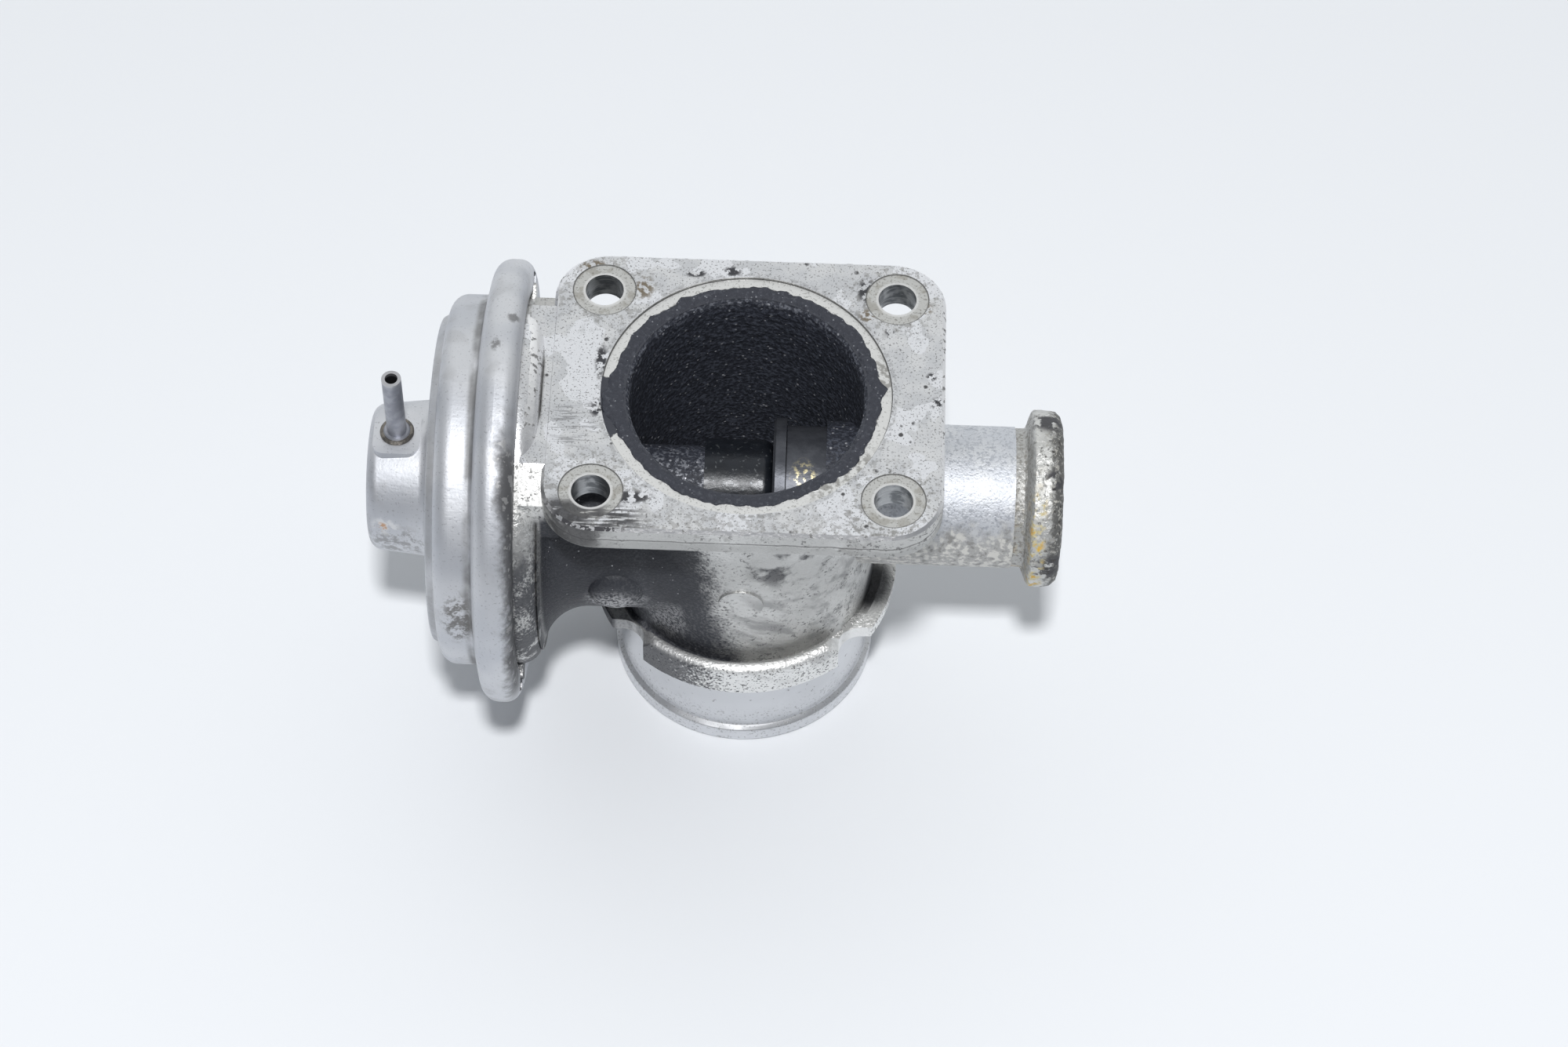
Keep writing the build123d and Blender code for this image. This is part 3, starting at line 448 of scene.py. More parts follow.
def recess_floor():
    """Floor of the seal's recess: bright and grained outside the crust, with soot over it on one side."""
    ring = Finish("recess_floor", (0.72, 0.72, 0.71), 0.85, 0.48)
    fine = ring.grain(0.0005, 3)
    mid = ring.grain(0.0016, 4, start=(5, 5, 5))
    duct = ring.away(*duct_axis)
    ring.coat(ring.both(ring.rise(fine, 0.44, 0.34), 0.6), (0.20, 0.20, 0.19), 0.6, 0.4)
    dirty = ring.either(
        ring.spot(0.0200, -0.0190, 0.0110), ring.spot(0.0280, 0.0060, 0.0060)
    )
    ring.coat(ring.both(dirty, ring.rise(mid, 0.44, 0.56), 0.7), (0.14, 0.135, 0.12), 0.6, 0.3)
    # Painted shade in the corner at the recess's outer step
    ring.coat(ring.rise(duct, 0.02915, 0.02935), (0.10, 0.10, 0.10), 0.6)
    left = ring.away((-0.0300, -0.0045, 0), (1, 0.8, 0))
    sooty = ring.either(
        ring.rise(ring.wander(duct, mid, 0.0016), 0.0271, 0.0268),
        ring.rise(ring.wander(left, mid, 0.004), 0.0064, 0.0060),
    )
    ring.coat(sooty, (0.034, 0.037, 0.048), 0.7, 0.0)
    ring.relief((fine, 0.00008), (ring.both(sooty, mid), 0.0004))
    return ring.material


def soot():
    """Dry carbon: blue-black and grained in the duct, greyer where it lies on the recess, with glints."""
    carbon = Finish("soot", (0.024, 0.027, 0.038), 0.0, 0.60)
    grains = carbon.grain(0.0008, 3)
    lumps = carbon.grain(0.0024, 3, start=(3, 3, 1))
    carbon.coat(carbon.rise(grains, 0.42, 0.66), (0.068, 0.076, 0.100))
    duct = carbon.away(*duct_axis)
    top = carbon.both(carbon.rise(carbon.along("Z"), 0.0872, 0.0880), carbon.rise(duct, 0.0238, 0.0250))
    carbon.coat(carbon.both(top, 0.85), (0.026, 0.029, 0.040), 0.75)
    carbon.coat(carbon.both(top, carbon.rise(grains, 0.56, 0.70), 0.6), (0.075, 0.080, 0.095))
    boss = carbon.near((-0.0150, -0.0090, 0.0620), 0.0160)
    scattered = carbon.rise(carbon.pits(0.0014), 0.22, 0.13)
    glint = carbon.both(scattered, carbon.either(carbon.rise(lumps, 0.46, 0.56), boss), carbon.outside(top))
    carbon.coat(glint, (0.55, 0.56, 0.60), 0.28, 0.5)
    # Painted sparkle: lighter grains on the guide boss and the crust's inner lip
    lip = carbon.both(carbon.rise(carbon.along("Z"), 0.0855, 0.0868), carbon.outside(top))
    bright = carbon.either(carbon.both(boss, 0.7), carbon.both(lip, 0.3))
    carbon.coat(carbon.both(bright, carbon.rise(grains, 0.52, 0.62)), (0.30, 0.31, 0.34), 0.35, 0.4)
    sparks = carbon.rise(carbon.pits(0.0013, start=(2, 2, 5)), 0.16, 0.10)
    carbon.coat(carbon.both(top, sparks, 0.6), (0.30, 0.31, 0.34), 0.35, 0.3)
    carbon.relief((grains, 0.00040), (lumps, 0.0003))
    return carbon.material


def drilled_hole():
    """Wall of a bolt hole: grey tool marks round it, with blotches of oil."""
    wall = Finish("drilled_hole", (0.36, 0.37, 0.38), 0.85, 0.32)
    rings = wall.grain(0.0005, 3, squeeze=(0.15, 0.15, 1.6))
    film = wall.grain(0.003, 3, start=(2, 2, 2))
    wall.coat(wall.rise(film, 0.42, 0.62), (0.15, 0.16, 0.17), 0.45)
    wall.coat(wall.both(wall.rise(rings, 0.52, 0.62), 0.4), (0.55, 0.56, 0.57))
    wall.relief((rings, 0.00008))
    return wall.material


def spotface():
    """Ring that the screw's head has rubbed: grained and warmer, with a thin dark line at its edge."""
    ring = Finish("spotface", (0.56, 0.56, 0.545), 0.85, 0.45)
    fine = ring.grain(0.0005, 3)
    film = ring.grain(0.0030, 4, start=(6, 2, 2))
    hole = ring.away(bolt_place, (1, 1, 0), quarters=True)
    ring.coat(ring.rise(fine, 0.46, 0.34), (0.30, 0.295, 0.28), 0.6)
    ring.coat(ring.both(ring.rise(film, 0.50, 0.62), 0.5), (0.22, 0.205, 0.17), 0.6, 0.4)
    streaks = ring.grain(0.0012, 4, squeeze=(0.16, 1.3, 1), start=(0.4, 0.2, 0))
    smeared = ring.both(ring.spot(-0.0330, -0.0305, 0.0075, 0.7, 1.5), ring.rise(streaks, 0.34, 0.46))
    ring.coat(ring.both(smeared, 0.9), (0.030, 0.030, 0.034), 0.6, 0.1)
    ring.coat(ring.both(ring.rise(hole, 0.00618, 0.00640), 0.75), (0.07, 0.07, 0.07), 0.6)
    ring.coat(ring.both(ring.rise(hole, 0.0046, 0.0042), 0.6), (0.80, 0.80, 0.80), 0.35)
    ring.relief((fine, 0.00009))
    return ring.material


def arm_skin():
    """Exhaust arm: cast close to size, grained, with a stained lower side that also carries a painted
    warm-grey reflection of the table.
    """
    skin = Finish("arm_skin", (0.62, 0.64, 0.68), 0.88, 0.62)
    z = skin.along("Z")
    fine = skin.grain(0.0005, 2)
    mid = skin.grain(0.0016, 4, start=(1, 0, 3))
    cloud = skin.grain(0.006, 4, start=(4, 4, 4))
    skin.coat(skin.rise(cloud, 0.35, 0.65), (0.69, 0.705, 0.73))
    skin.coat(skin.rise(skin.grain(0.0009, 3, start=(9, 2, 2)), 0.50, 0.62), (0.50, 0.52, 0.56), 0.52)
    skin.coat(skin.both(skin.rise(fine, 0.42, 0.32), 0.6), (0.30, 0.31, 0.34), 0.55)
    # Lower side: stains, with a painted warm-grey reflection of the table below, darker than the top
    low = skin.rise(skin.wander(z, cloud, 0.012), 0.0630, 0.0570)
    skin.coat(skin.both(low, 0.8), (0.40, 0.39, 0.37), 0.55, 0.6)
    skin.coat(skin.both(low, skin.rise(mid, 0.48, 0.58), 0.8), (0.72, 0.71, 0.67), 0.6, 0.3)
    skin.coat(skin.both(low, skin.rise(mid, 0.44, 0.36), 0.6), (0.18, 0.175, 0.16), 0.6, 0.3)
    end = skin.rise(skin.wander(skin.along("X"), cloud, 0.003), 0.0550, 0.0565)
    skin.coat(skin.both(end, skin.rise(mid, 0.42, 0.56), 0.6), (0.22, 0.21, 0.19), 0.6, 0.4)
    skin.relief((fine, 0.00012), (mid, 0.00008), (cloud, 0.0002))
    return skin.material


def turned_spigot():
    """Hose spigot: turned smooth, dulled by the hose, with dirt where the hose's end met the bead."""
    turned = Finish("turned_spigot", (0.64, 0.65, 0.67), 0.92, 0.34)
    rings = turned.grain(0.00025, 2, squeeze=(0.03, 0.03, 1))
    cloud = turned.grain(0.012, 3, start=(2, 8, 1))
    mid = turned.grain(0.0011, 3, start=(5, 1, 1))
    z = turned.along("Z")
    turned.coat(turned.rise(cloud, 0.35, 0.65), (0.70, 0.71, 0.73), 0.40)
    turned.coat(turned.both(turned.rise(mid, 0.34, 0.28), 0.5), (0.12, 0.12, 0.12), 0.6, 0.3)
    foot = turned.rise(turned.wander(z, cloud, 0.006), 0.0120, 0.0080)
    fine = turned.grain(0.0006, 3, start=(7, 7, 1))
    turned.coat(turned.both(foot, turned.rise(fine, 0.56, 0.66), 0.5), (0.22, 0.22, 0.22), 0.5, 0.5)
    turned.relief((rings, 0.00001), (cloud, 0.0003))
    return turned.material


def welded_copy(node):
    """A merged copy of a CAD node's mesh, as a new bmesh."""
    copy = bmesh.new()
    copy.from_mesh(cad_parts[node].data)
    bmesh.ops.remove_doubles(copy, verts=copy.verts, dist=merge_distance)
    return copy


def place_piece(shape, name, body, slot, *materials):
    """Turns a bmesh into a smooth-shaded object that rides on a body."""
    mesh = bpy.data.meshes.new(name)
    for edge in shape.edges:
        if len(edge.link_faces) == 2 and edge.calc_face_angle() > sharp_angle:
            edge.smooth = False
    for one in shape.faces:
        one.smooth = True
    shape.to_mesh(mesh)
    shape.free()
    for material in materials:
        mesh.materials.append(material)
    piece = bpy.data.objects.new(name, mesh)
    bpy.context.scene.collection.objects.link(piece)
    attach(piece, body)
    return piece


def body_finish(place, normal):
    """Which of the body's finishes a face has, by where it lies."""
    from_duct = math.hypot(place.x, place.y)
    from_hole = math.hypot(abs(place.x) - bolt_place.x, abs(place.y) - bolt_place.y)
    from_axis = math.hypot(place.y, place.z - axis_height)
    if from_hole < bolt_hole_r + off_bore and place.z > bolt_hole_foot:
        return drilled_hole
    if from_duct < duct_r + off_bore:
        return soot
    if place.z > flange_top - recess_depth and normal.z > faces_up:
        if from_duct < recess_r:
            return recess_floor
        return spotface if from_hole < spotface_r else milled_face
    if place.z > flange_top - flange_edge_break and from_duct > recess_r and normal.z > edge_faces_up:
        return nicked_edge_highlight
    if place.x > arm_start and from_axis < arm_r:
        return arm_skin
    if place.z < spigot_top and from_duct < spigot_reach:
        return turned_spigot
    return casting


body_finishes = [
    casting, milled_face, recess_floor, soot, drilled_hole, spotface, arm_skin, turned_spigot, nicked_edge_highlight,
]
body_shape = welded_copy("valve_body")
for face in body_shape.faces:
    face.material_index = body_finishes.index(body_finish(face.calc_center_median(), face.normal))
valve_casting = place_piece(
    body_shape, "valve_casting", "housing", "cast_aluminium", *[lay_up() for lay_up in body_finishes],
)
evened = valve_casting.modifiers.new("evened", "WEIGHTED_NORMAL")
evened.keep_sharp = True
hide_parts("valve_body")

# ---------------------------------------------------------------- soot crust
# Carbon that lines the top of the duct and has grown over its mouth, ragged on the recess floor.
crust_turns = 420
crust_step = 0.0003
# Outline from the duct's wall, up over the mouth and out on the floor: distance from the axis, height
crust_outline = (
    (0.02465, 0.0690), (0.02400, 0.0710), (0.02375, 0.0780), (0.02365, 0.0855), (0.02385, 0.0873),
    (0.02440, 0.0881), (0.02520, 0.08845), (0.0266, 0.08850), (0.0271, 0.08836), (0.0273, 0.08812),
    (0.0252, 0.0876), (0.0252, 0.0690),
)
crust_unseen = 3  # the last stretches of the outline lie against the casting
crust_mouth_r = 0.0243
crust_floor = 0.0879
crust_top = 0.0882
crust_spread = 0.0022  # over this distance the ragged edge takes effect
top_roughness = 0.00028
top_lumps = 500
wall_roughness = 0.00013
wall_lumps = 800
# Ragged outer edge: its even unevenness, then lobes by middle angle, angle's width and height
edge_roughness = 0.0009
edge_lumps = 7.0
crust_lobes = ((3.25, 0.17, 0.0021), (2.98, 0.07, 0.0006), (0.10, 0.035, 0.0012), (5.62, 0.10, 0.0008))


def stepped(outline, step, unseen=0):
    """Points along a closed outline, a step apart, but none between on its last, unseen stretches."""
    points = []
    stretches = list(zip(outline, outline[1:] + outline[:1]))
    for number, (start, end) in enumerate(stretches):
        seen = number < len(stretches) - unseen
        steps = max(1, round(math.dist(start, end) / step)) if seen else 1
        for count in range(steps):
            share = count / steps
            points.append((start[0] + share * (end[0] - start[0]), start[1] + share * (end[1] - start[1])))
    return points


def spun(outline, centre, axis, turns):
    """A closed outline spun all round an axis, with its faces turned outwards."""
    shape = bmesh.new()
    corners = [shape.verts.new(point) for point in outline]
    for here, following in zip(corners, corners[1:] + corners[:1]):
        shape.edges.new((here, following))
    bmesh.ops.spin(
        shape, geom=shape.verts[:] + shape.edges[:], cent=centre, axis=axis,
        angle=2 * math.pi, steps=turns, use_merge=True,
    )
    bmesh.ops.recalc_face_normals(shape, faces=shape.faces)
    return shape


def lumpy(place, lumps, octaves):
    """Unevenness between about -1 and 1, with this many lumps to the metre."""
    return noise.fractal(place * lumps, 1.0, 2.0, octaves)


def ragged_edge(angle):
    """How far the crust reaches past its usual edge at an angle round the duct."""
    direction = Vector((math.cos(angle), math.sin(angle), 0))
    reach = edge_roughness * lumpy(direction, edge_lumps, 5)
    for middle, width, height in crust_lobes:
        reach += height * math.exp(-((angle - middle) / width) ** 2)
    return reach


crust_points = [(radius, 0, height) for radius, height in stepped(crust_outline, crust_step, crust_unseen)]
crust_shape = spun(crust_points, (0, 0, 0), (0, 0, 1), crust_turns)
for vertex in crust_shape.verts:
    radius = math.hypot(vertex.co.x, vertex.co.y)
    height = vertex.co.z
    angle = math.atan2(vertex.co.y, vertex.co.x) % (2 * math.pi)
    outward = Vector((math.cos(angle), math.sin(angle), 0))
    if height > crust_floor and radius > crust_mouth_r:
        vertex.co += outward * ragged_edge(angle) * min(1, (radius - crust_mouth_r) / crust_spread)
        if height > crust_top:
            vertex.co.z += top_roughness * lumpy(vertex.co, top_lumps, 3)
    elif radius < crust_mouth_r:
        vertex.co += outward * (wall_roughness * lumpy(vertex.co, wall_lumps, 4))
bmesh.ops.recalc_face_normals(crust_shape, faces=crust_shape.faces)
place_piece(crust_shape, "soot_crust", "housing", "cast_aluminium", soot())

# ---------------------------------------------------------------- exhaust inlet
# Steel sleeve pushed through the arm, with a turned clamp flange welded to its end.
# The flange is crusted with white and rusty deposits.


def finish_node(node, finish):
    """Gives a CAD node its finish."""
    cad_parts[node].data.materials.clear()
    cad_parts[node].data.materials.append(finish)


def corroded_steel():
    """Turned steel, pitted and blackened on its outer rim, with white and yellow crusts below."""
    steel = Finish("corroded_steel", (0.56, 0.56, 0.545), 0.85, 0.46)
    x = steel.along("X")
    y = steel.along("Y")
    crumbs = steel.grain(0.0008, 4)
    crust = steel.grain(0.0022, 5, start=(4, 1, 3))
    cloud = steel.grain(0.007, 3, start=(8, 3, 3))
    stain = steel.grain(0.0022, 4, start=(2, 9, 6))
    cavities = steel.pits(0.0016, start=(1, 4, 4))
    steel.coat(steel.rise(cloud, 0.40, 0.60), (0.66, 0.66, 0.645))
    pitted = steel.both(steel.rise(crumbs, 0.46, 0.40), steel.rise(crust, 0.42, 0.56), 0.85)
    steel.coat(pitted, (0.10, 0.10, 0.10), 0.6, 0.3)
    # Pits and black scale, thick towards the outer edge
    scaled = steel.rise(steel.wander(steel.wander(x, crust, 0.0060), crumbs, 0.0050), 0.0618, 0.0636)
    steel.coat(scaled, (0.12, 0.12, 0.115), 0.62, 0.3)
    steel.coat(steel.both(scaled, steel.rise(crumbs, 0.54, 0.62)), (0.42, 0.41, 0.38), 0.5, 0.5)
    patches = steel.both(
        steel.either(
            steel.near((0.0620, 0.0080, 0.0722), 0.0048), steel.near((0.0630, -0.0175, 0.0560), 0.0050),
            steel.near((0.0632, -0.0070, 0.0715), 0.0030),
        ),
        steel.rise(crust, 0.42, 0.50),
    )
    steel.coat(patches, (0.055, 0.055, 0.06), 0.6, 0.2)
    holes = steel.both(
        steel.rise(cavities, 0.24, 0.12), steel.rise(crust, 0.46, 0.56), steel.rise(x, 0.0585, 0.0600)
    )
    steel.coat(holes, (0.07, 0.065, 0.06), 0.7, 0.1)
    # Salt crusts on the side towards the arm, whiter in front
    rim_side = steel.rise(steel.wander(x, stain, 0.0030), 0.0626, 0.0608)
    front = steel.rise(steel.wander(y, cloud, 0.010), -0.0060, -0.0140)
    white = steel.both(
        rim_side, steel.rise(crust, 0.50, 0.58), steel.rise(steel.wander(y, cloud, 0.020), 0.0080, -0.0100)
    )
    steel.coat(steel.both(white, 0.5), (0.66, 0.65, 0.61), 0.7, 0.1)
    steel.coat(steel.both(rim_side, front, steel.rise(stain, 0.47, 0.56), 0.8), (0.60, 0.52, 0.27), 0.7, 0.1)
    steel.coat(steel.both(rim_side, front, steel.rise(stain, 0.56, 0.61)), (0.68, 0.42, 0.08), 0.7, 0.1)
    neck = steel.rise(x, 0.0592, 0.0584)
    steel.coat(steel.both(neck, 0.8), (0.46, 0.46, 0.45), 0.5, 0.8)
    steel.coat(steel.both(neck, steel.rise(crumbs, 0.50, 0.60), 0.7), (0.20, 0.19, 0.17), 0.6, 0.3)
    steel.relief((crust, 0.0004), (crumbs, 0.0003), (steel.outside(holes), 0.0003))
    return steel.material


def heat_tinted_steel():
    """Inside of the inlet: straw and blue tints under soot."""
    steel = Finish("heat_tinted_steel", (0.16, 0.12, 0.08), 0.8, 0.35)
    tint = steel.grain(0.006, 3)
    film = steel.grain(0.001, 3, start=(1, 2, 3))
    steel.coat(steel.rise(tint, 0.35, 0.65), (0.10, 0.11, 0.14))
    steel.coat(steel.rise(film, 0.40, 0.55), (0.025, 0.024, 0.024), 0.7)
    steel.relief((film, 0.00012))
    return steel.material


# Outline of the turned flange, from its neck to its face: distance along X, then from the axis
clamp_profile = (
    (0.0555, 0.0122), (0.0555, 0.0144), (0.0574, 0.0144), (0.0578, 0.0147), (0.0589, 0.0177),
    (0.0593, 0.0182), (0.0596, 0.0183), (0.0626, 0.0183), (0.0638, 0.0180), (0.0648, 0.0171),
    (0.0652, 0.0158), (0.0652, 0.0136), (0.0648, 0.0122),
)
clamp_turns = 288
clamp_step = 0.0003
clean_bore_r = 0.0125  # no crust inside this
clean_foot_x = 0.0556  # nor against the arm
clamp_growth = 0.00016
clamp_lumps = 420

clamp_points = [(along, 0, axis_height + out) for along, out in stepped(clamp_profile, clamp_step)]
clamp_shape = spun(clamp_points, (0, 0, axis_height), (1, 0, 0), clamp_turns)
clamp_shape.normal_update()
for vertex in clamp_shape.verts:
    if math.hypot(vertex.co.y, vertex.co.z - axis_height) > clean_bore_r and vertex.co.x > clean_foot_x:
        vertex.co += vertex.normal * clamp_growth * lumpy(vertex.co, clamp_lumps, 4)
clamp_ring = place_piece(clamp_shape, "clamp_ring", "housing", "inlet_steel", corroded_steel())
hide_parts("clamp_flange")

inlet_inside = heat_tinted_steel()
for node in ("inlet_sleeve", "sleeve_weld"):
    finish_node(node, inlet_inside)

# ---------------------------------------------------------------- seat, poppet, shield and stem
# Heat-resistant steel in the exhaust stream: machined, then blackened with soot.


def sooted_steel():
    """Turned steel under a smooth film of soot."""
    steel = Finish("sooted_steel", (0.008, 0.010, 0.014), 0.2, 0.38)
    cloud = steel.grain(0.0035, 4, start=(3, 5, 5))
    grains = steel.grain(0.0009, 3)
    steel.coat(steel.rise(cloud, 0.35, 0.65), (0.016, 0.019, 0.025), 0.28)
    steel.coat(steel.both(steel.rise(grains, 0.62, 0.70), 0.6), (0.16, 0.17, 0.18), 0.4, 0.6)
    steel.relief((grains, 0.00005), (cloud, 0.0001))
    return steel.material


def wiped_steel():
    """Seat and poppet: the same film, wiped grey where they meet, with a painted straw-yellow glint."""
    steel = Finish("wiped_steel", (0.060, 0.064, 0.076), 0.5, 0.42)
    cloud = steel.grain(0.0030, 4, start=(3, 5, 5))
    grains = steel.grain(0.0010, 3)
    steel.coat(steel.rise(cloud, 0.35, 0.65), (0.085, 0.090, 0.104))
    # Painted highlight: a straw-yellow glint on the seat
    spot = steel.near((0.0120, -0.0045, 0.0665), 0.0034, (1, 0.8, 0.8))
    straw_glint = steel.both(spot, steel.rise(grains, 0.50, 0.64), 0.7)
    steel.coat(steel.both(straw_glint, 0.8), (0.75, 0.66, 0.38), 0.3, 0.9)
    steel.relief((grains, 0.00005), (cloud, 0.0001))
    return steel.material


stem_finish = sooted_steel()
seat_finish = wiped_steel()
hot_finishes = {
    "seat_ring": seat_finish, "poppet": seat_finish, "stem_shield": stem_finish, "valve_stem": stem_finish,
}
for node, finish in hot_finishes.items():
    finish_node(node, finish)

# ---------------------------------------------------------------- stem guide
# Sintered bronze bush and scraper in the casting, with a rubber seal held by a pressed washer.


def sintered_bronze():
    """Porous bronze, oily and browned."""
    bronze = Finish("sintered_bronze", (0.42, 0.29, 0.15), 0.9, 0.35)
    pores = bronze.pits(0.0005)
    cloud = bronze.grain(0.004, 3)
    bronze.coat(bronze.rise(cloud, 0.35, 0.65), (0.27, 0.18, 0.10), 0.55)
    bronze.coat(bronze.rise(pores, 0.25, 0.12), (0.08, 0.055, 0.03))
    bronze.relief((pores, 0.00005))
    return bronze.material


def moulded_rubber():
    """Black fluorosilicone rubber with a bloom of talc."""
    rubber = Finish("moulded_rubber", (0.016, 0.016, 0.018), 0.0, 0.5)
    bloom = rubber.grain(0.005, 4)
    fine = rubber.grain(0.0004, 2)
    rubber.coat(rubber.rise(bloom, 0.45, 0.70), (0.05, 0.05, 0.052), 0.72)
    rubber.relief((fine, 0.00003))
    return rubber.material


def plated_sheet():
    """Zinc-plated pressings inside the actuator: even, slightly blue, with drawing lines."""
    sheet = Finish("plated_sheet", (0.55, 0.57, 0.60), 0.95, 0.24)
    drawn = sheet.grain(0.0006, 3, squeeze=(0.1, 1, 1))
    cloud = sheet.grain(0.006, 3)
    sheet.coat(sheet.rise(cloud, 0.35, 0.65), (0.68, 0.69, 0.70))
    sheet.coat(sheet.rise(drawn, 0.40, 0.60), roughness=0.40)
    sheet.relief((drawn, 0.00002))
    return sheet.material


bronze_finish = sintered_bronze()
rubber_finish = moulded_rubber()
plated_finish = plated_sheet()
inner_finishes = {
    "stem_scraper": bronze_finish,
    "guide_bush": bronze_finish,
    "stem_seal": rubber_finish,
    "seal_retainer": plated_finish,
    "diaphragm_plate": plated_finish,
    "spring_cup": plated_finish,
    "clamp_washer": plated_finish,
}
for node, finish in inner_finishes.items():
    finish_node(node, finish)

diaphragm_shape = welded_copy("diaphragm")
diaphragm_mesh = bpy.data.meshes.new("soft_diaphragm")
for face in diaphragm_shape.faces:
    face.smooth = True
diaphragm_shape.to_mesh(diaphragm_mesh)
diaphragm_shape.free()
diaphragm_mesh.materials.append(rubber_finish)
soft_diaphragm = bpy.data.objects.new("soft_diaphragm", diaphragm_mesh)
bpy.context.scene.collection.objects.link(soft_diaphragm)
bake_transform(soft_diaphragm)
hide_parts("diaphragm")


def spring_wire():
    """Hard-drawn wire, phosphate grey with a film of oil."""
    wire = Finish("spring_wire", (0.30, 0.30, 0.31), 0.85, 0.28)
    film = wire.grain(0.003, 4)
    fine = wire.grain(0.0003, 2)
    wire.coat(wire.rise(film, 0.40, 0.62), (0.14, 0.13, 0.13), 0.50)
    wire.relief((fine, 0.00002))
    return wire.material


coil = place_piece(welded_copy("return_spring"), "coil", "housing", "valve_steel", spring_wire())
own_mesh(coil)
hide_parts("return_spring")

# ---------------------------------------------------------------- actuator cover
# Deep-drawn steel shell, its edge rolled round the bowl, satin with scuffs and grime.


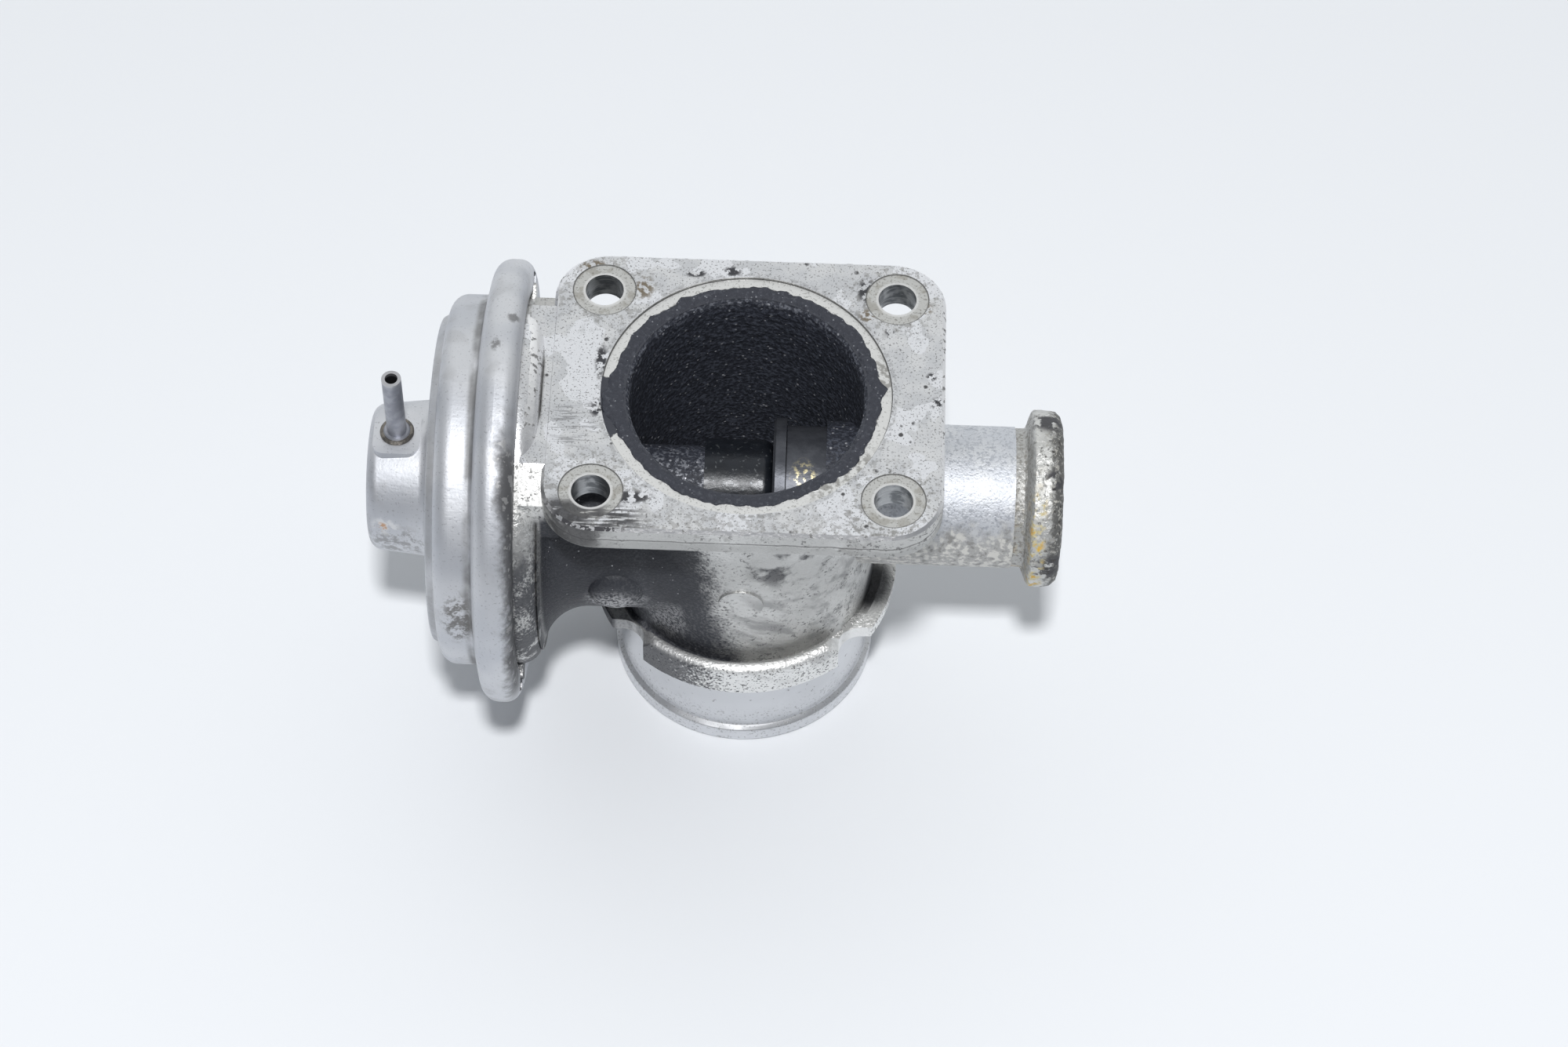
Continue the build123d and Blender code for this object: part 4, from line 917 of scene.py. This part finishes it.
def drawn_steel():
    """Drawn sheet: satin, darker in its corners, with grime low in front and painted shade low down, and one
    rust spot.
    """
    sheet = Finish("drawn_steel", (0.56, 0.575, 0.61), 0.90, 0.56)
    x = sheet.along("X")
    y = sheet.along("Y")
    z = sheet.along("Z")
    cloud = sheet.grain(0.008, 4, start=(1, 1, 6))
    broad = sheet.grain(0.020, 2, start=(2, 6, 1))
    mid = sheet.grain(0.0018, 4, start=(3, 1, 1))
    drawn = sheet.grain(0.0009, 3, squeeze=(0.12, 1, 1), start=(0, 4, 4))
    fine = sheet.grain(0.0005, 2, start=(5, 2, 2))
    from_axis = sheet.away((0, 0, axis_height), (0, 1, 1))
    sheet.coat(sheet.rise(broad, 0.38, 0.62), (0.65, 0.66, 0.685))
    sheet.coat(sheet.both(sheet.rise(cloud, 0.54, 0.66), 0.3), (0.42, 0.42, 0.43), 0.5)
    sheet.coat(sheet.both(sheet.rise(fine, 0.38, 0.30), 0.45), (0.26, 0.26, 0.28), 0.55)
    # Darker in the corners: at the can's step, round the dome's root and beside the rim
    step = sheet.beside(x, -0.0627, 0.0011, 0.0003)
    root = sheet.both(sheet.beside(x, -0.0646, 0.0013, 0.0003), sheet.rise(from_axis, 0.0195, 0.0180))
    rim_foot = sheet.both(sheet.rise(x, -0.0560, -0.0548), sheet.rise(from_axis, 0.0410, 0.0392))
    corners = sheet.either(sheet.both(step, 0.35), sheet.both(root, 0.5), sheet.both(rim_foot, 0.75))
    sheet.coat(sheet.both(corners, sheet.rise(cloud, 0.25, 0.60)), (0.13, 0.13, 0.13), 0.6, 0.3)
    # Rolled rim: grimy on the side towards the body, down its front
    lean = sheet.sum("ADD", x, sheet.sum("MULTIPLY", y, 0.10))
    shoulder = sheet.rise(sheet.wander(sheet.wander(lean, cloud, 0.0040), mid, 0.0036), -0.0525, -0.0497)
    down_front = sheet.both(
        sheet.rise(sheet.wander(y, cloud, 0.020), -0.0120, -0.0240), sheet.rise(z, 0.0300, 0.0460)
    )
    rubbed = sheet.both(shoulder, down_front, sheet.rise(mid, 0.54, 0.62), 0.7)
    sheet.coat(sheet.both(shoulder, down_front, 0.92), (0.060, 0.060, 0.063), 0.6, 0.3)
    sheet.coat(rubbed, (0.36, 0.36, 0.36), 0.5, 0.6)
    # Dirt baked on low in front, on the can and on the dome
    low_can = sheet.near((-0.0568, -0.0370, 0.0600), 0.0095, (2.2, 0.5, 1))
    low_dome = sheet.near((-0.0710, -0.0150, 0.0535), 0.0070, (0.8, 0.6, 1))
    crumbly = sheet.wander(mid, fine, 0.45)
    baked = sheet.both(sheet.either(low_can, sheet.both(low_dome, 0.6)), sheet.rise(crumbly, 0.42, 0.60))
    sheet.coat(sheet.both(baked, 0.85), (0.14, 0.135, 0.13), 0.6, 0.3)
    # Darker and warmer low down: dirt, and painted shade where the cover turns from the light
    under = sheet.both(sheet.rise(sheet.wander(z, cloud, 0.03), 0.050, 0.030), sheet.rise(cloud, 0.50, 0.64))
    sheet.coat(sheet.both(under, 0.3), (0.28, 0.27, 0.25), 0.55, 0.5)
    marks = sheet.either(
        sheet.spot(-0.0471, 0.0088, 0.0014, 0.9, 0.7), sheet.spot(-0.0501, 0.0012, 0.0013, 1, 0.6)
    )
    marked = sheet.both(marks, sheet.rise(z, 0.090, 0.092), sheet.rise(mid, 0.42, 0.56), 0.75)
    sheet.coat(marked, (0.10, 0.10, 0.10), 0.6, 0.3)
    rusty = sheet.both(sheet.near((-0.0743, -0.0149, 0.0583), 0.0016), sheet.rise(crumbly, 0.44, 0.60))
    ring = sheet.near((-0.0735, -0.0150, 0.0585), 0.0038, (1, 1, 1.2))
    sheet.coat(sheet.both(ring, sheet.rise(mid, 0.42, 0.54), 0.6), (0.80, 0.80, 0.80), 0.5, 0.5)
    sheet.coat(sheet.both(rusty, 0.85), (0.46, 0.24, 0.10), 0.7, 0.0)
    sheet.relief((drawn, 0.00003), (fine, 0.00003), (cloud, 0.0002))
    return sheet.material


finish_node("actuator_cover", drawn_steel())

# ---------------------------------------------------------------- vacuum nipple
# Drawn tube set in the dome's pad with a flange, and a ring of braze run round its foot.
nipple_x = -0.0716


def dull_tube():
    """Grey tube, dulled by heat from brazing, bright at its rim, and painted near black inside as shade in
    its narrow bore.
    """
    tube = Finish("dull_tube", (0.36, 0.37, 0.41), 0.8, 0.40)
    film = tube.grain(0.0022, 4)
    z = tube.along("Z")
    from_bore = tube.away((nipple_x, 0, 0), (1, 1, 0))
    tube.coat(tube.rise(film, 0.36, 0.62), (0.29, 0.30, 0.335), 0.48)
    tube.coat(tube.rise(z, 0.0889, 0.0892), (0.46, 0.46, 0.48), 0.32)
    # Painted shade: the narrow bore is painted near black
    inside = tube.both(tube.rise(from_bore, 0.00150, 0.00135), tube.rise(z, 0.0893, 0.0886))
    tube.coat(inside, (0.012, 0.012, 0.014), 0.6, 0.1)
    tube.relief((film, 0.0001))
    return tube.material


def dull_braze():
    """Braze, grey-brown under burnt flux."""
    braze = Finish("dull_braze", (0.20, 0.185, 0.165), 0.7, 0.42)
    lumps = braze.grain(0.0009, 3)
    film = braze.grain(0.0024, 3, start=(3, 3, 3))
    braze.coat(braze.rise(film, 0.40, 0.60), (0.09, 0.085, 0.08), 0.6)
    braze.relief((lumps, 0.0002))
    return braze.material


finish_node("vacuum_nipple", dull_tube())
finish_node("nipple_braze", dull_braze())
